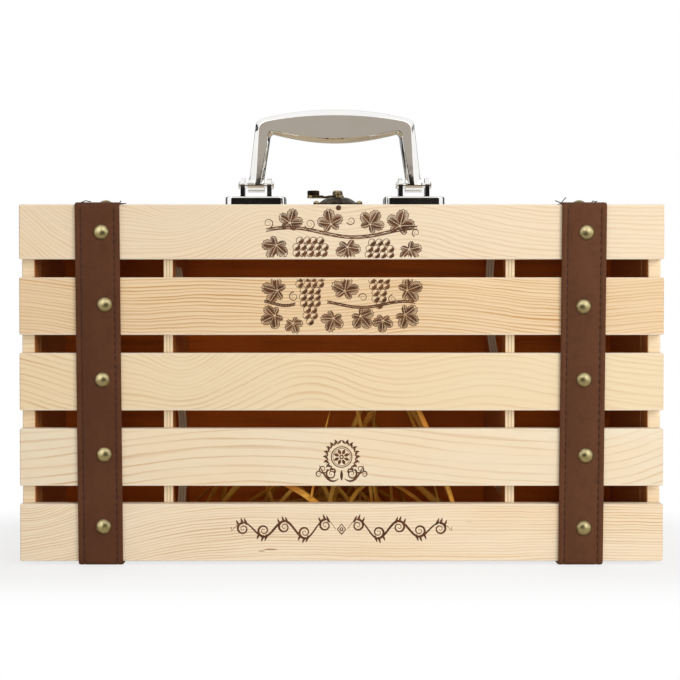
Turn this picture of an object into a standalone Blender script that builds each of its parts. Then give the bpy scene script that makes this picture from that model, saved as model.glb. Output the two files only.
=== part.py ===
"""Slatted pine gift box for two wine bottles, built like a small suitcase.

The slatted front is a lid, hinged to the deeper case along the bottom edge. A half-moon
swing latch closes the seam on top, and a chrome handle folds over on two forked brackets.
X runs to the right, Y from the front to the back, Z up. The origin is under the middle of
the box, on the surface that the strap undersides rest on.
"""

import math

import bmesh
import bpy
from mathutils import Matrix, Vector

MM = 0.001

# The wooden box
BOX_WIDTH = 350 * MM
BOX_HEIGHT = 194 * MM
BOX_DEPTH = 100 * MM
BOARD = 7 * MM
LID_DEPTH = 22 * MM
BACK_PANEL = 3 * MM
EASE = 0.5 * MM
FIT = 0.2 * MM
SEAM = 0.5 * MM

# Front slats, counted from the bottom. The top one is a little narrower.
SLAT_COUNT = 5
SLAT_HEIGHT = 31.2 * MM
TOP_SLAT_HEIGHT = 29.7 * MM

# Plywood bottle holders, one body notch and one neck notch in each, head to tail
PLY = 4.9 * MM
HOLDER_SPACING = 187.3 * MM
HOLDER_SHIFT = -1.2 * MM
BODY_NOTCH = 38.5 * MM
NECK_NOTCH = 15.5 * MM
NOTCH_WEB = 3 * MM

# Leather straps, which lean outward a little towards the top
STRAP_WIDTH = 24.4 * MM
STRAP_THICK = 1.8 * MM
STRAP_INSET = 43.9 * MM
STRAP_SHIFT = -0.5 * MM
STRAP_LEAN = 0.008
STRAP_SETBACK = 2.5 * MM
STRAP_BEND = 1 * MM
STRAP_EASE = 0.4 * MM

# Domed nails in the straps, driven by eye a little to the right of the middle. The drifts
# say how far each nail is off, across and up, from the bottom one to the top one.
NAIL_RADIUS = 4.15 * MM
NAIL_RISE = 2.4 * MM
NAIL_SHANK = 0.9 * MM
NAIL_LENGTH = 8 * MM
NAIL_OFFSET = 1.8 * MM
NAIL_INSET = 12 * MM
LEFT_NAIL_DRIFT = (
    (0 * MM, 3.6 * MM),
    (0.8 * MM, 1.6 * MM),
    (0.2 * MM, 1.2 * MM),
    (1.9 * MM, 0.9 * MM),
    (0.4 * MM, -0.3 * MM),
)
RIGHT_NAIL_DRIFT = (
    (-0.3 * MM, 2.8 * MM),
    (0.2 * MM, 1.1 * MM),
    (-1.1 * MM, 1.2 * MM),
    (-1.8 * MM, -0.2 * MM),
    (-0.6 * MM, -0.5 * MM),
)
LEFT_TOP_NAIL_DRIFT = 1 * MM
RIGHT_TOP_NAIL_DRIFT = -2.2 * MM
BORE_CLEARANCE = 0.25 * MM
DOME_STEPS = 4
NAIL_SIDES = 14
CASE_NAIL_SIDES = 10

# Butt hinges under the seam
HINGE_INSET = 100 * MM
HINGE_LENGTH = 22 * MM
HINGE_LEAF = 12 * MM
LEAF_THICK = 0.9 * MM
KNUCKLE_RADIUS = 1.6 * MM
KNUCKLE_GAP = 0.3 * MM
MIDDLE_KNUCKLE = 8 * MM
HINGE_PIN = 0.8 * MM
SCREW_HOLE = 1.1 * MM
SCREW_SPREAD = 7 * MM
PIN_PLAY = 0.05 * MM

# Half-moon latch: two dished plates, a hook that swings about a rivet, and a stud
LATCH_X = -1.7 * MM
LATCH_RADIUS = 13.4 * MM
LATCH_SHEET = 0.9 * MM
LATCH_DISH = 4.8 * MM
DISH_FLAT = 5.6 * MM
DISH_FOOT = 11.2 * MM
DISH_STEPS = 6
LATCH_NAIL_ANGLES = (15, 90, 165)
LATCH_NAIL_HOLE = 0.6 * MM
LATCH_REACH = 3.6 * MM
RIVET_SHANK = 1.2 * MM
RIVET_HEAD = 2.9 * MM
RIVET_RISE = 9.3 * MM
STUD_SHANK = 1.3 * MM
STUD_HEAD = 2.2 * MM
STUD_RISE = 8.6 * MM
CLINCH_FLARE = 0.5 * MM
POST_CHAMFER = 0.6 * MM
HOOK_THICK = 1.3 * MM
HOOK_WIDTH = 7 * MM
HOOK_LENGTH = 13.6 * MM
HOOK_PLAY = 0.3 * MM
HOOK_SLOT_SWEEP = 55
KNOB_RADIUS = 3.4 * MM
KNOB_HEIGHT = 3.2 * MM
KNOB_STEM = 1 * MM
KNOB_GROOVE = 0.6 * MM
KNOB_BEVEL = 0.45 * MM

# Chrome handle and its two forked brackets
HANDLE_X = -2.8 * MM
HANDLE_Y = 0 * MM
BRACKET_SPACING = 91.2 * MM
BRACKET_WIDTH = 35 * MM
BRACKET_DEPTH = 20 * MM
BRACKET_HEIGHT = 7 * MM
BRACKET_CORNER = 4.5 * MM
BRACKET_EASE = 0.9 * MM
EAR_SPREAD = 17.8 * MM
EAR_THICK = 2.5 * MM
EAR_RADIUS = 4.3 * MM
EAR_FOOT = 12 * MM
PIVOT_HEIGHT = 14.3 * MM
BRACKET_PIN = 1.5 * MM
PIN_HEAD = 2.3 * MM
PIN_HEAD_RISE = 1.1 * MM
PIN_HEAD_BEVEL = 0.6 * MM
BARREL_RADIUS = 4.1 * MM
BARREL_WIDTH = 9.8 * MM
LEG_WIDTH = 8.4 * MM
LEG_DEPTH = 8.6 * MM
LEG_SPLAY = 3.8 * MM
SHOULDER_HEIGHT = 33.1 * MM
SHOULDER_RUN = 5.6 * MM
SHOULDER_RISE = 5.7 * MM
APEX_HEIGHT = 43.5 * MM
BELLY_HEIGHT = 24.4 * MM
GRIP_END = 29.4 * MM
THROAT_RUN = 2.1 * MM
THROAT_RISE = 4.2 * MM
GRIP_DEPTH = 13 * MM
HANDLE_EDGE = 5 * MM
LEG_BEVEL = 3.7 * MM
GRIP_BEVEL = 3.3 * MM
GRIP_END_BEVEL = 1.3 * MM
INNER_BEVEL = 1.7 * MM
HANDLE_EASE = 0.45 * MM
SHOULDER_PULL = 0.6
CROWN_PULL = 0.34
LEG_STEPS = 6
CROWN_STEPS = 10

# The pin that shows as a dot in the top slat
DOT_RADIUS = 1.4 * MM
DOT_RISE = 0.4 * MM
DOT_BEVEL = 0.55 * MM
DOT_DROP = 1.9 * MM
DOT_SHANK = 0.6 * MM
DOT_LENGTH = 11 * MM

# Straw bed on the floor of the case
STRAW_HEIGHT = 16 * MM
STRAW_MARGIN = 3 * MM
STRAW_ROLL = 2 * MM
STRAW_RIM = 5.6 * MM
STRAW_WAVES = 7

# Places worked out from the sizes above
WOOD_LOW = STRAP_THICK + FIT
WOOD_HIGH = WOOD_LOW + BOX_HEIGHT
WOOD_MIDDLE = (WOOD_LOW + WOOD_HIGH) / 2
LEFT = -BOX_WIDTH / 2
RIGHT = BOX_WIDTH / 2
FRONT = -BOX_DEPTH / 2
BACK = BOX_DEPTH / 2
SEAM_Y = FRONT + LID_DEPTH
LID_REAR = SEAM_Y - SEAM / 2
CASE_FRONT = SEAM_Y + SEAM / 2
SLAT_REAR = FRONT + BOARD
CASE_REAR = BACK - BACK_PANEL
INNER_LOW = WOOD_LOW + BOARD
INNER_HIGH = WOOD_HIGH - BOARD
SLAT_PITCH = (BOX_HEIGHT - TOP_SLAT_HEIGHT) / (SLAT_COUNT - 1)
BOTTLE_Y = (SLAT_REAR + CASE_REAR) / 2
LOWER_BOTTLE_Z = INNER_LOW + FIT + NOTCH_WEB + BODY_NOTCH
UPPER_BOTTLE_Z = INNER_HIGH - FIT - NOTCH_WEB - BODY_NOTCH
STRAP_TOP = WOOD_HIGH + FIT + STRAP_THICK
STRAP_FRONT = FRONT - FIT - STRAP_THICK
STRAP_BACK = BACK + FIT + STRAP_THICK
PIVOT_Z = WOOD_HIGH + PIVOT_HEIGHT
HOOK_Z = WOOD_HIGH + FIT + LATCH_DISH + FIT
ROUND = 24


def clear_scene():
    for thing in list(bpy.data.objects):
        bpy.data.objects.remove(thing, do_unlink=True)


def finish(name, colour, roughness, metallic=0.0):
    look = bpy.data.materials.new(name)
    look.use_nodes = True
    shader = look.node_tree.nodes["Principled BSDF"]
    shader.inputs["Base Color"].default_value = (*colour, 1.0)
    shader.inputs["Roughness"].default_value = roughness
    shader.inputs["Metallic"].default_value = metallic
    look.diffuse_color = (*colour, 1.0)
    return look


def joint_axis(name, place):
    """An empty on a joint's axis, which the moving pieces are parented to."""
    axis = bpy.data.objects.new(name, None)
    axis.empty_display_size = 0.02
    axis.location = place
    bpy.context.scene.collection.objects.link(axis)
    return axis


def as_mesh(bm, name):
    bmesh.ops.recalc_face_normals(bm, faces=bm.faces)
    mesh = bpy.data.meshes.new(name)
    bm.to_mesh(mesh)
    bm.free()
    return mesh


def place_piece(name, mesh, look, place, axis=None, turn=(0, 0, 0)):
    piece = bpy.data.objects.new(name, mesh)
    if not mesh.materials:
        mesh.materials.append(look)
    bpy.context.scene.collection.objects.link(piece)
    piece.location = place
    piece.rotation_euler = turn
    if axis:
        piece.parent = axis
        piece.location = Vector(place) - axis.location
    return piece


def helper(name, mesh, place, axis=None, turn=(0, 0, 0)):
    """A shape that only cuts or joins, and isn't a piece of the box."""
    shape = bpy.data.objects.new(name, mesh)
    bpy.context.scene.collection.objects.link(shape)
    shape.location = place
    shape.rotation_euler = turn
    if axis:
        shape.parent = axis
        shape.location = Vector(place) - axis.location
    shape.hide_render = True
    shape.display_type = "WIRE"
    return shape


def combine(piece, other, operation):
    step = piece.modifiers.new(f"{operation.lower()} {other.name}", "BOOLEAN")
    step.operation = operation
    step.solver = "EXACT"
    step.object = other


def ease_edges(piece, width, segments=1):
    step = piece.modifiers.new("eased edges", "BEVEL")
    step.width = width
    step.segments = segments
    step.limit_method = "ANGLE"
    step.angle_limit = math.radians(40)


def smooth_round(mesh, sharp=35):
    mesh.shade_smooth()
    mesh.set_sharp_from_angle(angle=math.radians(sharp))


def block_mesh(name, size):
    bm = bmesh.new()
    bmesh.ops.create_cube(bm, size=1.0)
    bmesh.ops.scale(bm, vec=size, verts=bm.verts)
    return as_mesh(bm, name)


def board(name, low, high, look, axis=None, ease=EASE):
    """A board between two corners, with its edges eased."""
    low, high = Vector(low), Vector(high)
    piece = place_piece(name, block_mesh(name, high - low), look, (low + high) / 2, axis)
    ease_edges(piece, ease)
    return piece


def block_cutter(name, low, high, axis=None):
    low, high = Vector(low), Vector(high)
    return helper(name, block_mesh(name, high - low), (low + high) / 2, axis)


def arc(centre, radius, start, end, steps):
    """Points on a circle, with the angles in degrees."""
    angles = [math.radians(start + (end - start) * i / steps) for i in range(steps + 1)]
    return [(centre[0] + radius * math.cos(a), centre[1] + radius * math.sin(a)) for a in angles]


def outline_mesh(name, outline, thickness, along):
    """A flat outline made thick along X (points are y, z) or along Z (points are x, y)."""
    half = thickness / 2
    bm = bmesh.new()
    if along == "X":
        corners = [bm.verts.new((-half, u, v)) for u, v in outline]
        shift = (thickness, 0, 0)
    else:
        corners = [bm.verts.new((u, v, -half)) for u, v in outline]
        shift = (0, 0, thickness)
    face = bm.faces.new(corners)
    grown = bmesh.ops.extrude_face_region(bm, geom=[face])["geom"]
    moved = [item for item in grown if isinstance(item, bmesh.types.BMVert)]
    bmesh.ops.translate(bm, verts=moved, vec=shift)
    return as_mesh(bm, name)


def turned_mesh(name, profile, steps=ROUND):
    """A profile of (radius, height) points, from one end of the axis to the other."""
    bm = bmesh.new()
    points = [bm.verts.new((radius, 0, height)) for radius, height in profile]
    edges = [bm.edges.new(pair) for pair in zip(points, points[1:])]
    bmesh.ops.spin(
        bm, geom=points + edges, cent=(0, 0, 0), axis=(0, 0, 1), angle=2 * math.pi, steps=steps
    )
    bmesh.ops.remove_doubles(bm, verts=bm.verts, dist=0.001 * MM)
    mesh = as_mesh(bm, name)
    smooth_round(mesh)
    return mesh


def rod_profile(radius, low, high):
    return [(0, low), (radius, low), (radius, high), (0, high)]


def rods_mesh(name, radius, length, places, turn, steps=12):
    """Several equal rods in one helper, each about its own place."""
    bm = bmesh.new()
    for place in places:
        bmesh.ops.create_cone(
            bm,
            cap_ends=True,
            segments=steps,
            radius1=radius,
            radius2=radius,
            depth=length,
            matrix=Matrix.Translation(place) @ turn.to_4x4(),
        )
    return as_mesh(bm, name)


UPRIGHT = Matrix.Identity(3)
ALONG_Y = Matrix.Rotation(math.pi / 2, 3, "X")
ALONG_X = Matrix.Rotation(math.pi / 2, 3, "Y")


# Lid

def slat_span(number):
    """Lowest and highest z of a slat, counted from the bottom."""
    low = WOOD_LOW + number * SLAT_PITCH
    last = number == SLAT_COUNT - 1
    return low, low + (TOP_SLAT_HEIGHT if last else SLAT_HEIGHT)


def make_slats(pine, axis):
    slats = []
    for number in range(SLAT_COUNT):
        low, high = slat_span(number)
        slats.append(
            board(
                f"slat_{number + 1}",
                (LEFT, FRONT, low),
                (RIGHT, SLAT_REAR, high),
                pine,
                axis,
            )
        )
    return slats


def make_lid_rim(pine, axis):
    front = SLAT_REAR + FIT
    bottom = board(
        "lid_bottom_rail", (LEFT, front, WOOD_LOW), (RIGHT, LID_REAR, INNER_LOW), pine, axis
    )
    top = board(
        "lid_top_rail", (LEFT, front, INNER_HIGH), (RIGHT, LID_REAR, WOOD_HIGH), pine, axis
    )
    low, high = INNER_LOW + FIT, INNER_HIGH - FIT
    board("lid_left_rail", (LEFT, front, low), (LEFT + BOARD, LID_REAR, high), pine, axis)
    board("lid_right_rail", (RIGHT - BOARD, front, low), (RIGHT, LID_REAR, high), pine, axis)
    return bottom, top


def holder_x(side):
    return HOLDER_SHIFT + side * HOLDER_SPACING / 2


def body_notch_z(side):
    """The left holders carry the lower bottle's body, the right ones the upper one's."""
    return LOWER_BOTTLE_Z if side < 0 else UPPER_BOTTLE_Z


def neck_notch_z(side):
    return UPPER_BOTTLE_Z if side < 0 else LOWER_BOTTLE_Z


def make_lid_holder(name, side, ply, axis):
    """A batten behind the slats, hollowed where the bottle's body bulges past the seam."""
    front = SLAT_REAR + FIT
    low, high = INNER_LOW + FIT, INNER_HIGH - FIT
    centre = body_notch_z(side)
    spread = math.degrees(math.acos(min(1.0, (BOTTLE_Y - LID_REAR) / BODY_NOTCH)))
    hollow = arc((BOTTLE_Y, centre), BODY_NOTCH, 180 - spread, 180 + spread, 14)
    outline = [(front, low), (front, high), (LID_REAR, high), *hollow, (LID_REAR, low)]
    mesh = outline_mesh(name, outline, PLY, "X")
    return place_piece(name, mesh, ply, (holder_x(side), 0, 0), axis)


# Case

def make_case_boards(pine, back_board):
    rear = CASE_REAR - FIT
    bottom = board(
        "case_bottom_board", (LEFT, CASE_FRONT, WOOD_LOW), (RIGHT, rear, INNER_LOW), pine
    )
    board("case_top_board", (LEFT, CASE_FRONT, INNER_HIGH), (RIGHT, rear, WOOD_HIGH), pine)
    low, high = INNER_LOW + FIT, INNER_HIGH - FIT
    board("case_left_end", (LEFT, CASE_FRONT, low), (LEFT + BOARD, rear, high), pine)
    board("case_right_end", (RIGHT - BOARD, CASE_FRONT, low), (RIGHT, rear, high), pine)
    board("back_panel", (LEFT, CASE_REAR, WOOD_LOW), (RIGHT, BACK, WOOD_HIGH), back_board)
    return bottom


def make_case_holder(name, side, ply):
    """A plywood plate with two notches that open to the front."""
    rear = CASE_REAR - FIT
    low, high = INNER_LOW + FIT, INNER_HIGH - FIT

    def notch(centre, radius):
        bowl = arc((BOTTLE_Y, centre), radius, 90, -90, 20)
        return [(CASE_FRONT, centre + radius), *bowl, (CASE_FRONT, centre - radius)]

    notches = {
        body_notch_z(side): BODY_NOTCH,
        neck_notch_z(side): NECK_NOTCH,
    }
    outline = [(rear, low), (rear, high), (CASE_FRONT, high)]
    for centre in sorted(notches, reverse=True):
        outline += notch(centre, notches[centre])
    outline.append((CASE_FRONT, low))
    mesh = outline_mesh(name, outline, PLY, "X")
    return place_piece(name, mesh, ply, (holder_x(side), 0, 0))


def make_straw_bed(straw):
    """A soft mat with a rolling top, between the two holders."""
    half_width = HOLDER_SPACING / 2 - PLY / 2 - STRAW_MARGIN
    front = SLAT_REAR + STRAW_MARGIN
    rear = CASE_REAR - STRAW_MARGIN
    half_depth = (rear - front) / 2
    floor = INNER_LOW + FIT
    bm = bmesh.new()
    bmesh.ops.create_grid(bm, x_segments=16, y_segments=8, size=1.0)
    for vert in bm.verts:
        u, v = vert.co.x, vert.co.y
        crown = (1 - u**6) * (1 - v**6)
        roll = math.sin(STRAW_WAVES * u) * math.cos((STRAW_WAVES - 2) * v - 3 * u)
        height = STRAW_RIM + crown * (STRAW_HEIGHT - STRAW_RIM - STRAW_ROLL + roll * STRAW_ROLL)
        vert.co = (u * half_width, v * half_depth, height)
    skirt = bmesh.ops.extrude_edge_only(bm, edges=[e for e in bm.edges if e.is_boundary])
    for vert in [item for item in skirt["geom"] if isinstance(item, bmesh.types.BMVert)]:
        vert.co.z = 0
    bmesh.ops.holes_fill(bm, edges=[e for e in bm.edges if e.is_boundary])
    mesh = as_mesh(bm, "straw_bed")
    mesh.shade_smooth()
    return place_piece("straw_bed", mesh, straw, (HOLDER_SHIFT, (front + rear) / 2, floor))


# Leather straps and their nails

def strap_x(side, height):
    """The middle of a strap at a height: it leans outward towards the top."""
    lean = STRAP_LEAN * (height - WOOD_MIDDLE)
    return STRAP_SHIFT + side * (BOX_WIDTH / 2 - STRAP_INSET + lean)


def strap_outline(seam_end, face, facing):
    """The wrap of a strap: over the top, down the face and back under the bottom."""
    inner = face + facing * FIT
    outer = inner + facing * STRAP_THICK
    top_in, top_out = WOOD_HIGH + FIT, STRAP_TOP
    low_in, low_out = WOOD_LOW - FIT, WOOD_LOW - FIT - STRAP_THICK
    bend = STRAP_BEND + STRAP_THICK
    middle = face + facing * (FIT - STRAP_BEND)
    turn = 0 if facing > 0 else 180
    high, low = WOOD_HIGH + FIT - STRAP_BEND, WOOD_LOW - FIT + STRAP_BEND
    outside = [(seam_end, top_out)]
    outside += arc((middle, high), bend, 90, turn, 5)
    outside += arc((middle, low), bend, turn, 270 if facing < 0 else -90, 5)
    outside += [(seam_end, low_out)]
    inside = [(seam_end, top_in)]
    inside += arc((middle, high), STRAP_BEND, 90, turn, 3)
    inside += arc((middle, low), STRAP_BEND, turn, 270 if facing < 0 else -90, 3)
    inside += [(seam_end, low_in)]
    return outside + inside[::-1]


def make_strap(name, side, outline, leather, axis=None):
    mesh = outline_mesh(name, outline, STRAP_WIDTH, "X")
    for vert in mesh.vertices:
        vert.co.x += side * STRAP_LEAN * (vert.co.z - WOOD_MIDDLE)
    smooth_round(mesh, 30)
    strap = place_piece(name, mesh, leather, (strap_x(side, WOOD_MIDDLE), 0, 0), axis)
    ease_edges(strap, STRAP_EASE)
    return strap


def nail_places(side):
    """X and Z of the nails down a strap's face, one near the middle of each slat."""
    drift = LEFT_NAIL_DRIFT if side < 0 else RIGHT_NAIL_DRIFT
    places = []
    for number in range(SLAT_COUNT):
        middle = sum(slat_span(number)) / 2
        across, up = drift[number % len(drift)]
        places.append((strap_x(side, middle) + NAIL_OFFSET + across, middle + up))
    return places


def top_nail_x(side):
    drift = LEFT_TOP_NAIL_DRIFT if side < 0 else RIGHT_TOP_NAIL_DRIFT
    return strap_x(side, WOOD_HIGH) + NAIL_OFFSET + drift


def dome_profile(low):
    """A nail head over its underside at the given height, up to its crown."""
    bulge = (NAIL_RADIUS**2 + NAIL_RISE**2) / (2 * NAIL_RISE)
    start = math.asin(min(1.0, NAIL_RADIUS / bulge))
    if NAIL_RISE > NAIL_RADIUS:
        start = math.pi - start
    centre = NAIL_RISE - bulge
    profile = []
    for step in range(DOME_STEPS):
        angle = start * (1 - step / DOME_STEPS)
        profile.append((bulge * math.sin(angle), low + centre + bulge * math.cos(angle)))
    return [*profile, (0, low + NAIL_RISE)]


def nail_mesh():
    shank = [(0, -NAIL_LENGTH), (NAIL_SHANK, NAIL_SHANK - NAIL_LENGTH), (NAIL_SHANK, 0)]
    return turned_mesh("strap_nail", [*shank, *dome_profile(0)], NAIL_SIDES)


def make_lid_nails(brass, axis, slats, top_rail, straps):
    """Nails through each lid strap: one into each slat and one into the top rail."""
    depth = NAIL_LENGTH + 2 * BORE_CLEARANCE
    for side, strap, word in ((-1, straps[0], "left"), (1, straps[1], "right")):
        places = nail_places(side)
        front = STRAP_FRONT - FIT
        middle = [(x, front + depth / 2, z) for x, z in places]
        bores = helper(
            f"{word}_front_bores",
            rods_mesh("bores", NAIL_SHANK + BORE_CLEARANCE, depth + 2 * FIT, middle, ALONG_Y, 8),
            (0, 0, 0),
            axis,
        )
        combine(strap, bores, "DIFFERENCE")
        for slat in slats:
            combine(slat, bores, "DIFFERENCE")
        for number, (x, z) in enumerate(places):
            place_piece(
                f"{word}_front_nail_{number + 1}",
                nail_mesh(),
                brass,
                (x, front, z),
                axis,
                (math.pi / 2, 0, 0),
            )
        top = Vector((top_nail_x(side), FRONT + NAIL_INSET, STRAP_TOP + FIT))
        place_piece(f"{word}_top_nail", nail_mesh(), brass, top, axis)
        middle = [top - Vector((0, 0, depth / 2))]
        bore = helper(
            f"{word}_top_bore",
            rods_mesh("bore", NAIL_SHANK + BORE_CLEARANCE, depth + 2 * FIT, middle, UPRIGHT, 8),
            (0, 0, 0),
            axis,
        )
        combine(strap, bore, "DIFFERENCE")
        combine(top_rail, bore, "DIFFERENCE")


def add_case_nails(strap, side):
    """The case strap's nail heads, one solid with their strap: five behind, two on top."""
    base = -FIT
    profile = [(0, base), (NAIL_RADIUS, base), *dome_profile(FIT)]
    head = turned_mesh("case_nail", profile, CASE_NAIL_SIDES)
    bm = bmesh.new()
    behind = Matrix.Rotation(-math.pi / 2, 4, "X")
    places = [
        Matrix.Translation((x, STRAP_BACK, z)) @ behind for x, z in nail_places(side)
    ]
    for y in (CASE_FRONT + NAIL_INSET, BACK - NAIL_INSET):
        places.append(Matrix.Translation((top_nail_x(side), y, STRAP_TOP)))
    for place in places:
        copy = head.copy()
        copy.transform(place)
        bm.from_mesh(copy)
    word = "left" if side < 0 else "right"
    heads = helper(f"{word}_case_nail_heads", as_mesh(bm, "case_nail_heads"), (0, 0, 0))
    combine(strap, heads, "UNION")


# Hinges

def knuckle_spans(part):
    """Where along the hinge the knuckles of each leaf are: two for the case, one for the lid."""
    half = HINGE_LENGTH / 2
    middle = MIDDLE_KNUCKLE / 2
    if part == "case":
        return [(-half, -middle - KNUCKLE_GAP / 2), (middle + KNUCKLE_GAP / 2, half)]
    return [(-middle + KNUCKLE_GAP / 2, middle - KNUCKLE_GAP / 2)]


def make_leaf(name, part, x, steel, axis=None):
    """A hinge leaf: a plate under the wood, tabs to the axis and knuckles round the pin."""
    facing = 1 if part == "case" else -1
    near = facing * (KNUCKLE_RADIUS + KNUCKLE_GAP)
    far = facing * HINGE_LEAF
    half = HINGE_LENGTH / 2
    outline = [(-half, far)]
    edge = -half
    for low, high in knuckle_spans(part):
        if low > edge:
            outline += [(edge, near), (low, near)]
        outline += [(low, 0), (high, 0)]
        edge = high
        if high < half:
            outline.append((high, near))
    if edge < half:
        outline.append((half, near))
    outline.append((half, far))
    tidy = [p for i, p in enumerate(outline) if p != outline[i - 1]]
    bm = bmesh.new()
    bm.from_mesh(outline_mesh(name, tidy, LEAF_THICK, "Z"))
    bmesh.ops.translate(bm, verts=bm.verts, vec=(0, 0, -FIT - LEAF_THICK / 2))
    place = (x, SEAM_Y, WOOD_LOW)
    leaf = place_piece(name, as_mesh(bm, name), steel, place, axis)
    for number, (low, high) in enumerate(knuckle_spans(part)):
        middle = [((low + high) / 2, 0, 0)]
        knuckle = rods_mesh("knuckle", KNUCKLE_RADIUS, high - low, middle, ALONG_X, 20)
        combine(leaf, helper(f"{name}_knuckle_{number + 1}", knuckle, place, axis), "UNION")
    bore = rods_mesh("bore", HINGE_PIN + PIN_PLAY, 2 * HINGE_LENGTH, [(0, 0, 0)], ALONG_X, 20)
    combine(leaf, helper(f"{name}_bore", bore, place, axis), "DIFFERENCE")
    centre = (near + far) / 2
    holes = [(-SCREW_SPREAD, centre, 0), (SCREW_SPREAD, centre, 0)]
    screws = rods_mesh("screw_holes", SCREW_HOLE, 4 * LEAF_THICK, holes, UPRIGHT, 10)
    combine(leaf, helper(f"{name}_screw_holes", screws, place, axis), "DIFFERENCE")


def make_hinges(steel, axis, case_board, lid_rail):
    for side, word in ((-1, "left"), (1, "right")):
        x = side * (BOX_WIDTH / 2 - HINGE_INSET)
        make_leaf(f"{word}_hinge_case_leaf", "case", x, steel)
        make_leaf(f"{word}_hinge_lid_leaf", "lid", x, steel, axis)
        half = HINGE_LENGTH / 2
        place_piece(
            f"{word}_hinge_pin",
            turned_mesh("hinge_pin", rod_profile(HINGE_PIN, -half, half), 20),
            steel,
            (x, SEAM_Y, WOOD_LOW),
            None,
            (0, math.pi / 2, 0),
        )
        room = KNUCKLE_RADIUS + KNUCKLE_GAP + FIT
        low = (x - half - FIT, SEAM_Y - room, WOOD_LOW - room)
        high = (x + half + FIT, SEAM_Y + room, WOOD_LOW + room)
        combine(case_board, block_cutter(f"{word}_case_rebate", low, high), "DIFFERENCE")
        combine(lid_rail, block_cutter(f"{word}_lid_rebate", low, high, axis), "DIFFERENCE")


# Latch

def dish_profile():
    """Section of a dished plate from its middle outward: the outer skin, then the inner."""
    top, sheet = LATCH_DISH, LATCH_SHEET
    outer = [(0, top)]
    for step in range(DISH_STEPS + 1):
        share = step / DISH_STEPS
        swell = (1 + math.cos(math.pi * share)) / 2
        radius = DISH_FLAT + (DISH_FOOT - DISH_FLAT) * share
        outer.append((radius, sheet + (top - sheet) * swell))
    outer.append((LATCH_RADIUS, sheet))
    inner = [(radius, height - sheet) for radius, height in outer]
    return outer, inner


def make_half_moon(name, facing, look, shank, axis=None):
    """Half of a dished disc, on one side of the seam."""
    outer, inner = dish_profile()
    place = (LATCH_X, SEAM_Y, WOOD_HIGH + FIT)
    disc = turned_mesh(name, outer + inner[::-1])
    half_facet = math.pi / ROUND
    disc.transform(Matrix.Rotation(half_facet, 4, "Z"))
    plate = place_piece(name, disc, look, place, axis)
    edge = SEAM_Y + facing * (SEAM / 2 + FIT)
    sides = sorted((edge, edge - facing * 2 * LATCH_RADIUS))
    low = (LATCH_X - 2 * LATCH_RADIUS, sides[0], WOOD_HIGH - LATCH_DISH)
    high = (LATCH_X + 2 * LATCH_RADIUS, sides[1], WOOD_HIGH + 2 * LATCH_DISH)
    combine(plate, block_cutter(f"{name}_other_half", low, high, axis), "DIFFERENCE")
    rim = (DISH_FOOT + LATCH_RADIUS) / 2
    holes = []
    for angle in LATCH_NAIL_ANGLES:
        across = math.radians(angle)
        holes.append((rim * math.cos(across), facing * rim * math.sin(across), 0))
    nails = rods_mesh("nail_holes", LATCH_NAIL_HOLE, 4 * LATCH_SHEET, holes, UPRIGHT, 8)
    combine(plate, helper(f"{name}_nail_holes", nails, place, axis), "DIFFERENCE")
    seat = (LATCH_X, SEAM_Y + facing * LATCH_REACH, WOOD_HIGH + LATCH_DISH)
    bore = rods_mesh("bore", shank + PIN_PLAY, 4 * LATCH_SHEET, [(0, 0, 0)], UPRIGHT, 20)
    combine(plate, helper(f"{name}_bore", bore, seat, axis), "DIFFERENCE")


def make_headed_post(name, look, facing, shank, head, rise, axis=None):
    """A rivet or stud, clinched under the dished plate and headed above it."""
    plate_low = FIT + LATCH_DISH - LATCH_SHEET
    clinch = plate_low - FIT
    head_low = FIT + LATCH_DISH + FIT + HOOK_THICK + FIT
    shoulder = (rise + head_low) / 2
    foot = shank + CLINCH_FLARE
    profile = [
        (0, clinch - LATCH_SHEET),
        (foot, clinch - LATCH_SHEET),
        (foot, clinch),
        (shank, clinch),
        (shank, head_low),
        (head, head_low),
        (head, shoulder),
        (head - POST_CHAMFER, rise),
        (0, rise),
    ]
    place = (LATCH_X, SEAM_Y + facing * LATCH_REACH, WOOD_HIGH)
    place_piece(name, turned_mesh(name, profile, 20), look, place, axis)


def make_hook(look, axis):
    """The hook lies to the left at rest. Its slot follows the stud's path about the rivet."""
    place = axis.location
    half = HOOK_WIDTH / 2
    tip = (-HOOK_LENGTH, 0)
    body = arc((0, 0), half, -90, 90, 10) + arc(tip, half, 90, 270, 10)
    mesh = outline_mesh("latch_hook", body, HOOK_THICK, "Z")
    hook = place_piece("latch_hook", mesh, look, place, axis)
    reach = 2 * LATCH_REACH
    slot = STUD_SHANK + HOOK_PLAY
    mouth = 180 + HOOK_SLOT_SWEEP
    outline = arc((0, 0), reach + slot, 180, mouth, 6)
    outline += arc((0, 0), reach - slot, mouth, 180, 6)
    outline += arc((-reach, 0), slot, 0, 180, 8)[1:-1]
    cutter = outline_mesh("hook_slot", outline, 4 * HOOK_THICK, "Z")
    combine(hook, helper("hook_slot", cutter, place, axis), "DIFFERENCE")
    for name, x, radius in (
        ("hook_rivet_bore", 0, RIVET_SHANK + PIN_PLAY),
        ("hook_knob_bore", -HOOK_LENGTH, KNOB_STEM + PIN_PLAY),
    ):
        rod = rods_mesh(name, radius, 4 * HOOK_THICK, [(x, 0, 0)], UPRIGHT, 20)
        combine(hook, helper(name, rod, place, axis), "DIFFERENCE")
    make_knob(look, axis)


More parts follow.
